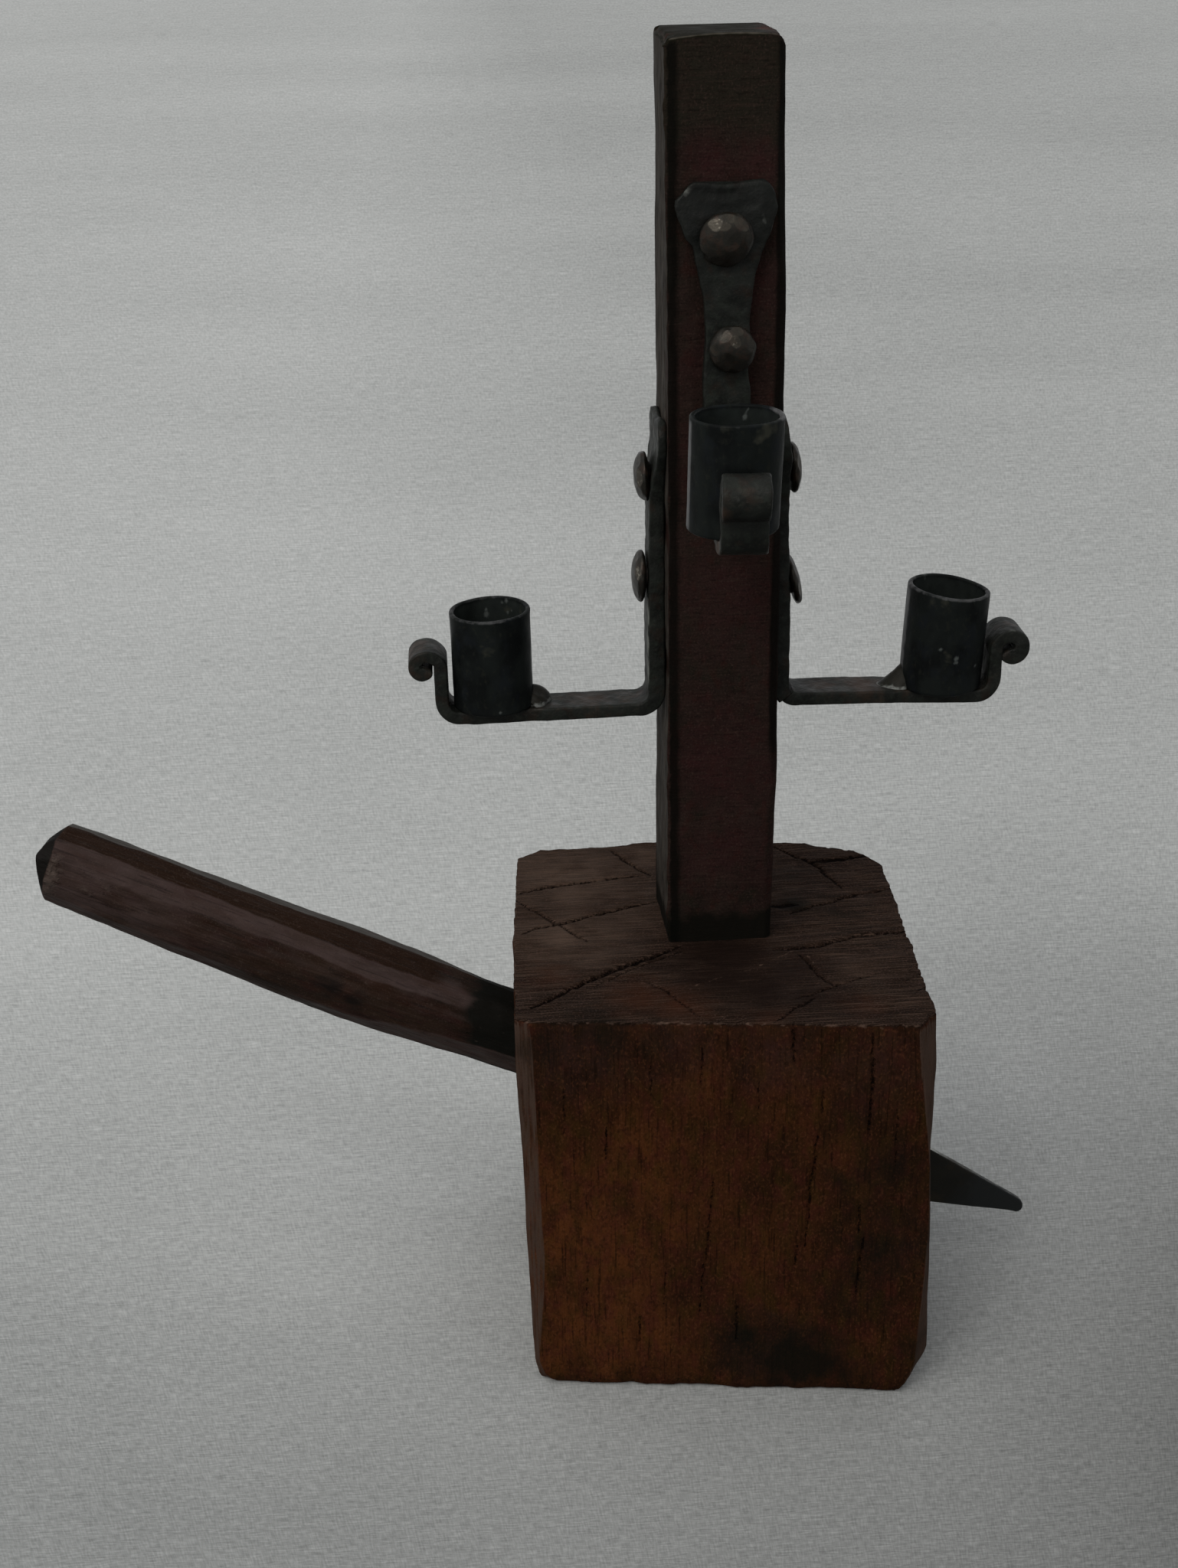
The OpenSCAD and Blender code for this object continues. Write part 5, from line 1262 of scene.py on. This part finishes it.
def makeBlade():
    edges = np.array(blade["edges"])
    rows = np.concatenate([np.arange(30, 117, blade["step"]), np.linspace(117.2, blade["tip"], 18)])
    template = sectionTemplate(across=18, corner=3, side=2)
    around = len(template)
    points = np.zeros((len(rows), around, 3))
    for k, x in enumerate(rows):
        high, low = np.interp(x, edges[:, 0], edges[:, 1]), np.interp(x, edges[:, 0], edges[:, 2])
        half, middle = (high - low) / 2, (high + low) / 2
        thin = blade["thick"] * (1 - 0.25 * smooth(x, 80, 121))
        corner = min(blade["corner"], half * 0.8)
        points[k, :, 0] = x
        points[k, :, 2] = middle + template[:, 0] * (half - corner) + template[:, 2] * corner
        points[k, :, 1] = template[:, 1] * (thin - corner) + template[:, 3] * corner
    flat = points.reshape(-1, 3)
    out = np.tile(template[:, 3], len(rows))
    flat[:, 1] += out * 0.10 * rough(flat, (9, 9, 9), 95, 2)
    flat[:, 2] += np.tile(template[:, 2], len(rows)) * 0.10 * rough(flat, (7, 7, 7), 96, 2) * (1 - smooth(flat[:, 0], 114, 118))
    faces = ringFaces(len(rows), around) + [list(range(around)), [(len(rows) - 1) * around + j for j in range(around)]]
    topEdge = np.tile((template[:, 2] > 0.5).astype(float), len(rows))
    # painted highlight along the top edge, weaker past the middle
    marks = {"tip": smooth(flat[:, 0], 82, 112), "wearAndSheen": topEdge * (1.0 - 0.55 * smooth(flat[:, 0], 76, 90))}
    return makePiece("flatBlade", alongTool(flat), faces, bladeIron, ["side_blade"], marks)


makeBlade()
print("handle and blade made")


stage = {
    "half": 12.0,                                    # half width of the floor in metres
    # painted light and shade: cloth colour to the left and right, near the camera and far behind the object, paler far
    # off and darker to the near right
    "nearLeft": "#8e908f", "nearRight": "#636463", "farLeft": "#aeb0af", "farRight": "#a1a3a2",
    "nearEdge": -0.13, "farEdge": 0.30, "leftEdge": -0.22, "rightEdge": 0.17,
    "lift": 0.5, "liftNear": 0.07, "liftFar": 0.26, "widening": 0.66, "narrowest": 0.36,
    "behindNear": -0.5, "behindFar": -1.1,
    # weave layers: frequency across and along the cloth, seed, strength
    "threads": [((150, 1000, 1), 0.0, 0.26), ((1000, 150, 1), 5.0, 0.2), ((25, 500, 1), 9.0, 0.1), ((3, 4, 1), 3.0, 0.10)],
}


def makeFloor():
    mesh = bpy.data.meshes.new("floor")
    h = stage["half"]
    mesh.from_pydata([(-h, -h, 0), (h, -h, 0), (h, h, 0), (-h, h, 0)], [], [(0, 1, 2, 3)])
    floor = bpy.data.objects.new("floor", mesh)
    bpy.context.scene.collection.objects.link(floor)
    material = bpy.data.materials.new("woven backdrop cloth")
    material.use_nodes = True
    tree = material.node_tree
    tree.nodes.clear()
    place = add(tree, "ShaderNodeTexCoord", out=3)
    parts = add(tree, "ShaderNodeSeparateXYZ", {"Vector": place}).node.outputs
    right = add(tree, "ShaderNodeMapRange", {"Value": parts["X"], "From Min": stage["leftEdge"], "From Max": stage["rightEdge"]})
    far = add(tree, "ShaderNodeMapRange", {"Value": parts["Y"], "From Min": stage["nearEdge"], "From Max": stage["farEdge"]},
              interpolation_type="SMOOTHSTEP")
    # behind the camera the cloth is as pale as it is far off
    behind = add(tree, "ShaderNodeMapRange", {"Value": parts["Y"], "From Min": stage["behindNear"], "From Max": stage["behindFar"]})
    far = add(tree, "ShaderNodeMath", {"Value": far, "Value_001": behind}, operation="MAXIMUM")
    # painted light and shade: the cloth darkens towards the near right
    near = add(tree, "ShaderNodeMix", {"Factor_Float": right, "A_Color": linear(stage["nearLeft"]),
                                       "B_Color": linear(stage["nearRight"])}, out=2, data_type="RGBA")
    back = add(tree, "ShaderNodeMix", {"Factor_Float": right, "A_Color": linear(stage["farLeft"]),
                                       "B_Color": linear(stage["farRight"])}, out=2, data_type="RGBA")
    shade = add(tree, "ShaderNodeMix", {"Factor_Float": far, "A_Color": near, "B_Color": back}, out=2, data_type="RGBA")
    # painted light: the cloth is paler round the foot of the object, against the shade the object casts
    away = add(tree, "ShaderNodeVectorMath", {"Vector": place}, out=1, operation="LENGTH")
    lift = add(tree, "ShaderNodeMapRange", {"Value": away, "From Min": stage["liftNear"], "From Max": stage["liftFar"],
                                            "To Min": stage["lift"], "To Max": 0.0}, interpolation_type="SMOOTHSTEP")
    shade = add(tree, "ShaderNodeMix", {"Factor_Float": lift, "A_Color": shade, "B_Color": (1, 1, 1, 1)},
                out=2, data_type="RGBA", blend_type="SOFT_LIGHT")
    # threads of about half a millimetre with a few thicker ones, as in a slub weave; they widen with the distance
    # so that the far cloth isn't blank, and keep one width from a little before the object
    away = add(tree, "ShaderNodeMath", {"Value": parts["Y"], "Value_001": stage["widening"]}, operation="ADD")
    wide = add(tree, "ShaderNodeMath", {"Value": away, "Value_001": stage["narrowest"]}, operation="MAXIMUM")
    before = add(tree, "ShaderNodeMath", {"Value": away, "Value_001": wide}, operation="SUBTRACT")
    run = add(tree, "ShaderNodeMath", {"Value": parts["X"], "Value_001": wide}, operation="DIVIDE")
    step = add(tree, "ShaderNodeMath", {"Value": wide, "Value_001": math.e}, operation="LOGARITHM")
    step = add(tree, "ShaderNodeMath", {"Value": before, "Value_001": 1 / stage["narrowest"], "Value_002": step}, operation="MULTIPLY_ADD")
    cloth = add(tree, "ShaderNodeCombineXYZ", {"X": run, "Y": step})
    for scale, seed, amount in stage["threads"]:
        spot = add(tree, "ShaderNodeMapping", {"Vector": cloth, "Location": (seed, seed, 0), "Scale": scale})
        thread = add(tree, "ShaderNodeTexNoise", {"Vector": spot, "Scale": 1.0, "Detail": 2.0})
        grey = add(tree, "ShaderNodeMapRange", {"Value": thread, "From Min": 0.3, "From Max": 0.7})
        shade = add(tree, "ShaderNodeMix", {"Factor_Float": amount, "A_Color": shade, "B_Color": grey},
                    out=2, data_type="RGBA", blend_type="SOFT_LIGHT")
    surface = add(tree, "ShaderNodeBsdfPrincipled", {"Base Color": shade, "Roughness": 0.95, "Specular IOR Level": 0.05})
    add(tree, "ShaderNodeOutputMaterial", {"Surface": surface})
    mesh.materials.append(material)


makeFloor()

lights = {
    "world": 0.67, "worldColour": "#f7f8fa",
    "sun": {"from": (-0.44, -0.52, 0.76), "strength": 1.28, "angle": 48, "colour": "#fffaf2"},
    # a small lamp that only wakes glints on the nails and edges: position, size, power
    "spark": {"at": (-0.50, -0.80, 1.25), "size": 0.16, "power": 1.5},
}


def makeLights():
    world = bpy.data.worlds.new("soft room")
    bpy.context.scene.world = world
    world.use_nodes = True
    tree = world.node_tree
    tree.nodes.clear()
    glow = add(tree, "ShaderNodeBackground", {"Color": linear(lights["worldColour"]), "Strength": lights["world"]})
    add(tree, "ShaderNodeOutputWorld", {"Surface": glow})
    sun, spark = lights["sun"], lights["spark"]
    for label, kind, spot, aim in (("softSun", "SUN", Vector(sun["from"]) * 2, Vector((0, 0, 0))),
                                   ("spark", "AREA", Vector(spark["at"]), Vector((0, 0, 0.25)))):
        lamp = bpy.data.lights.new(label, kind)
        if kind == "SUN":
            lamp.energy, lamp.angle, lamp.color = sun["strength"], math.radians(sun["angle"]), linear(sun["colour"])[:3]
        else:
            lamp.shape, lamp.size, lamp.energy = "DISK", spark["size"], spark["power"]
        holder = bpy.data.objects.new(label, lamp)
        bpy.context.scene.collection.objects.link(holder)
        holder.location = spot
        holder.rotation_euler = (aim - spot).to_track_quat("-Z", "Y").to_euler()


makeLights()
camera = {
    "at": (-77.8, -597.5, 463.3), "forward": (0.0557, 0.9089, -0.4132), "roll": 1.292, "lens": 46.78,
}


def makeCamera():
    forward = Vector(camera["forward"]).normalized()
    right = forward.cross(Vector((0, 0, 1))).normalized()
    up = right.cross(forward)
    roll = math.radians(camera["roll"])
    across = math.cos(roll) * right - math.sin(roll) * up
    upward = math.sin(roll) * right + math.cos(roll) * up
    data = bpy.data.cameras.new("camera")
    data.lens, data.sensor_width, data.clip_end = camera["lens"], 36.0, 60.0
    data.clip_start = 0.01
    holder = bpy.data.objects.new("camera", data)
    bpy.context.scene.collection.objects.link(holder)
    axes = Matrix((across, upward, -forward)).transposed().to_4x4()
    holder.matrix_world = Matrix.Translation(Vector(camera["at"]) * mm) @ axes
    bpy.context.scene.camera = holder


makeCamera()
bpy.context.scene.view_settings.view_transform = "Standard"

bpy.context.view_layer.update()
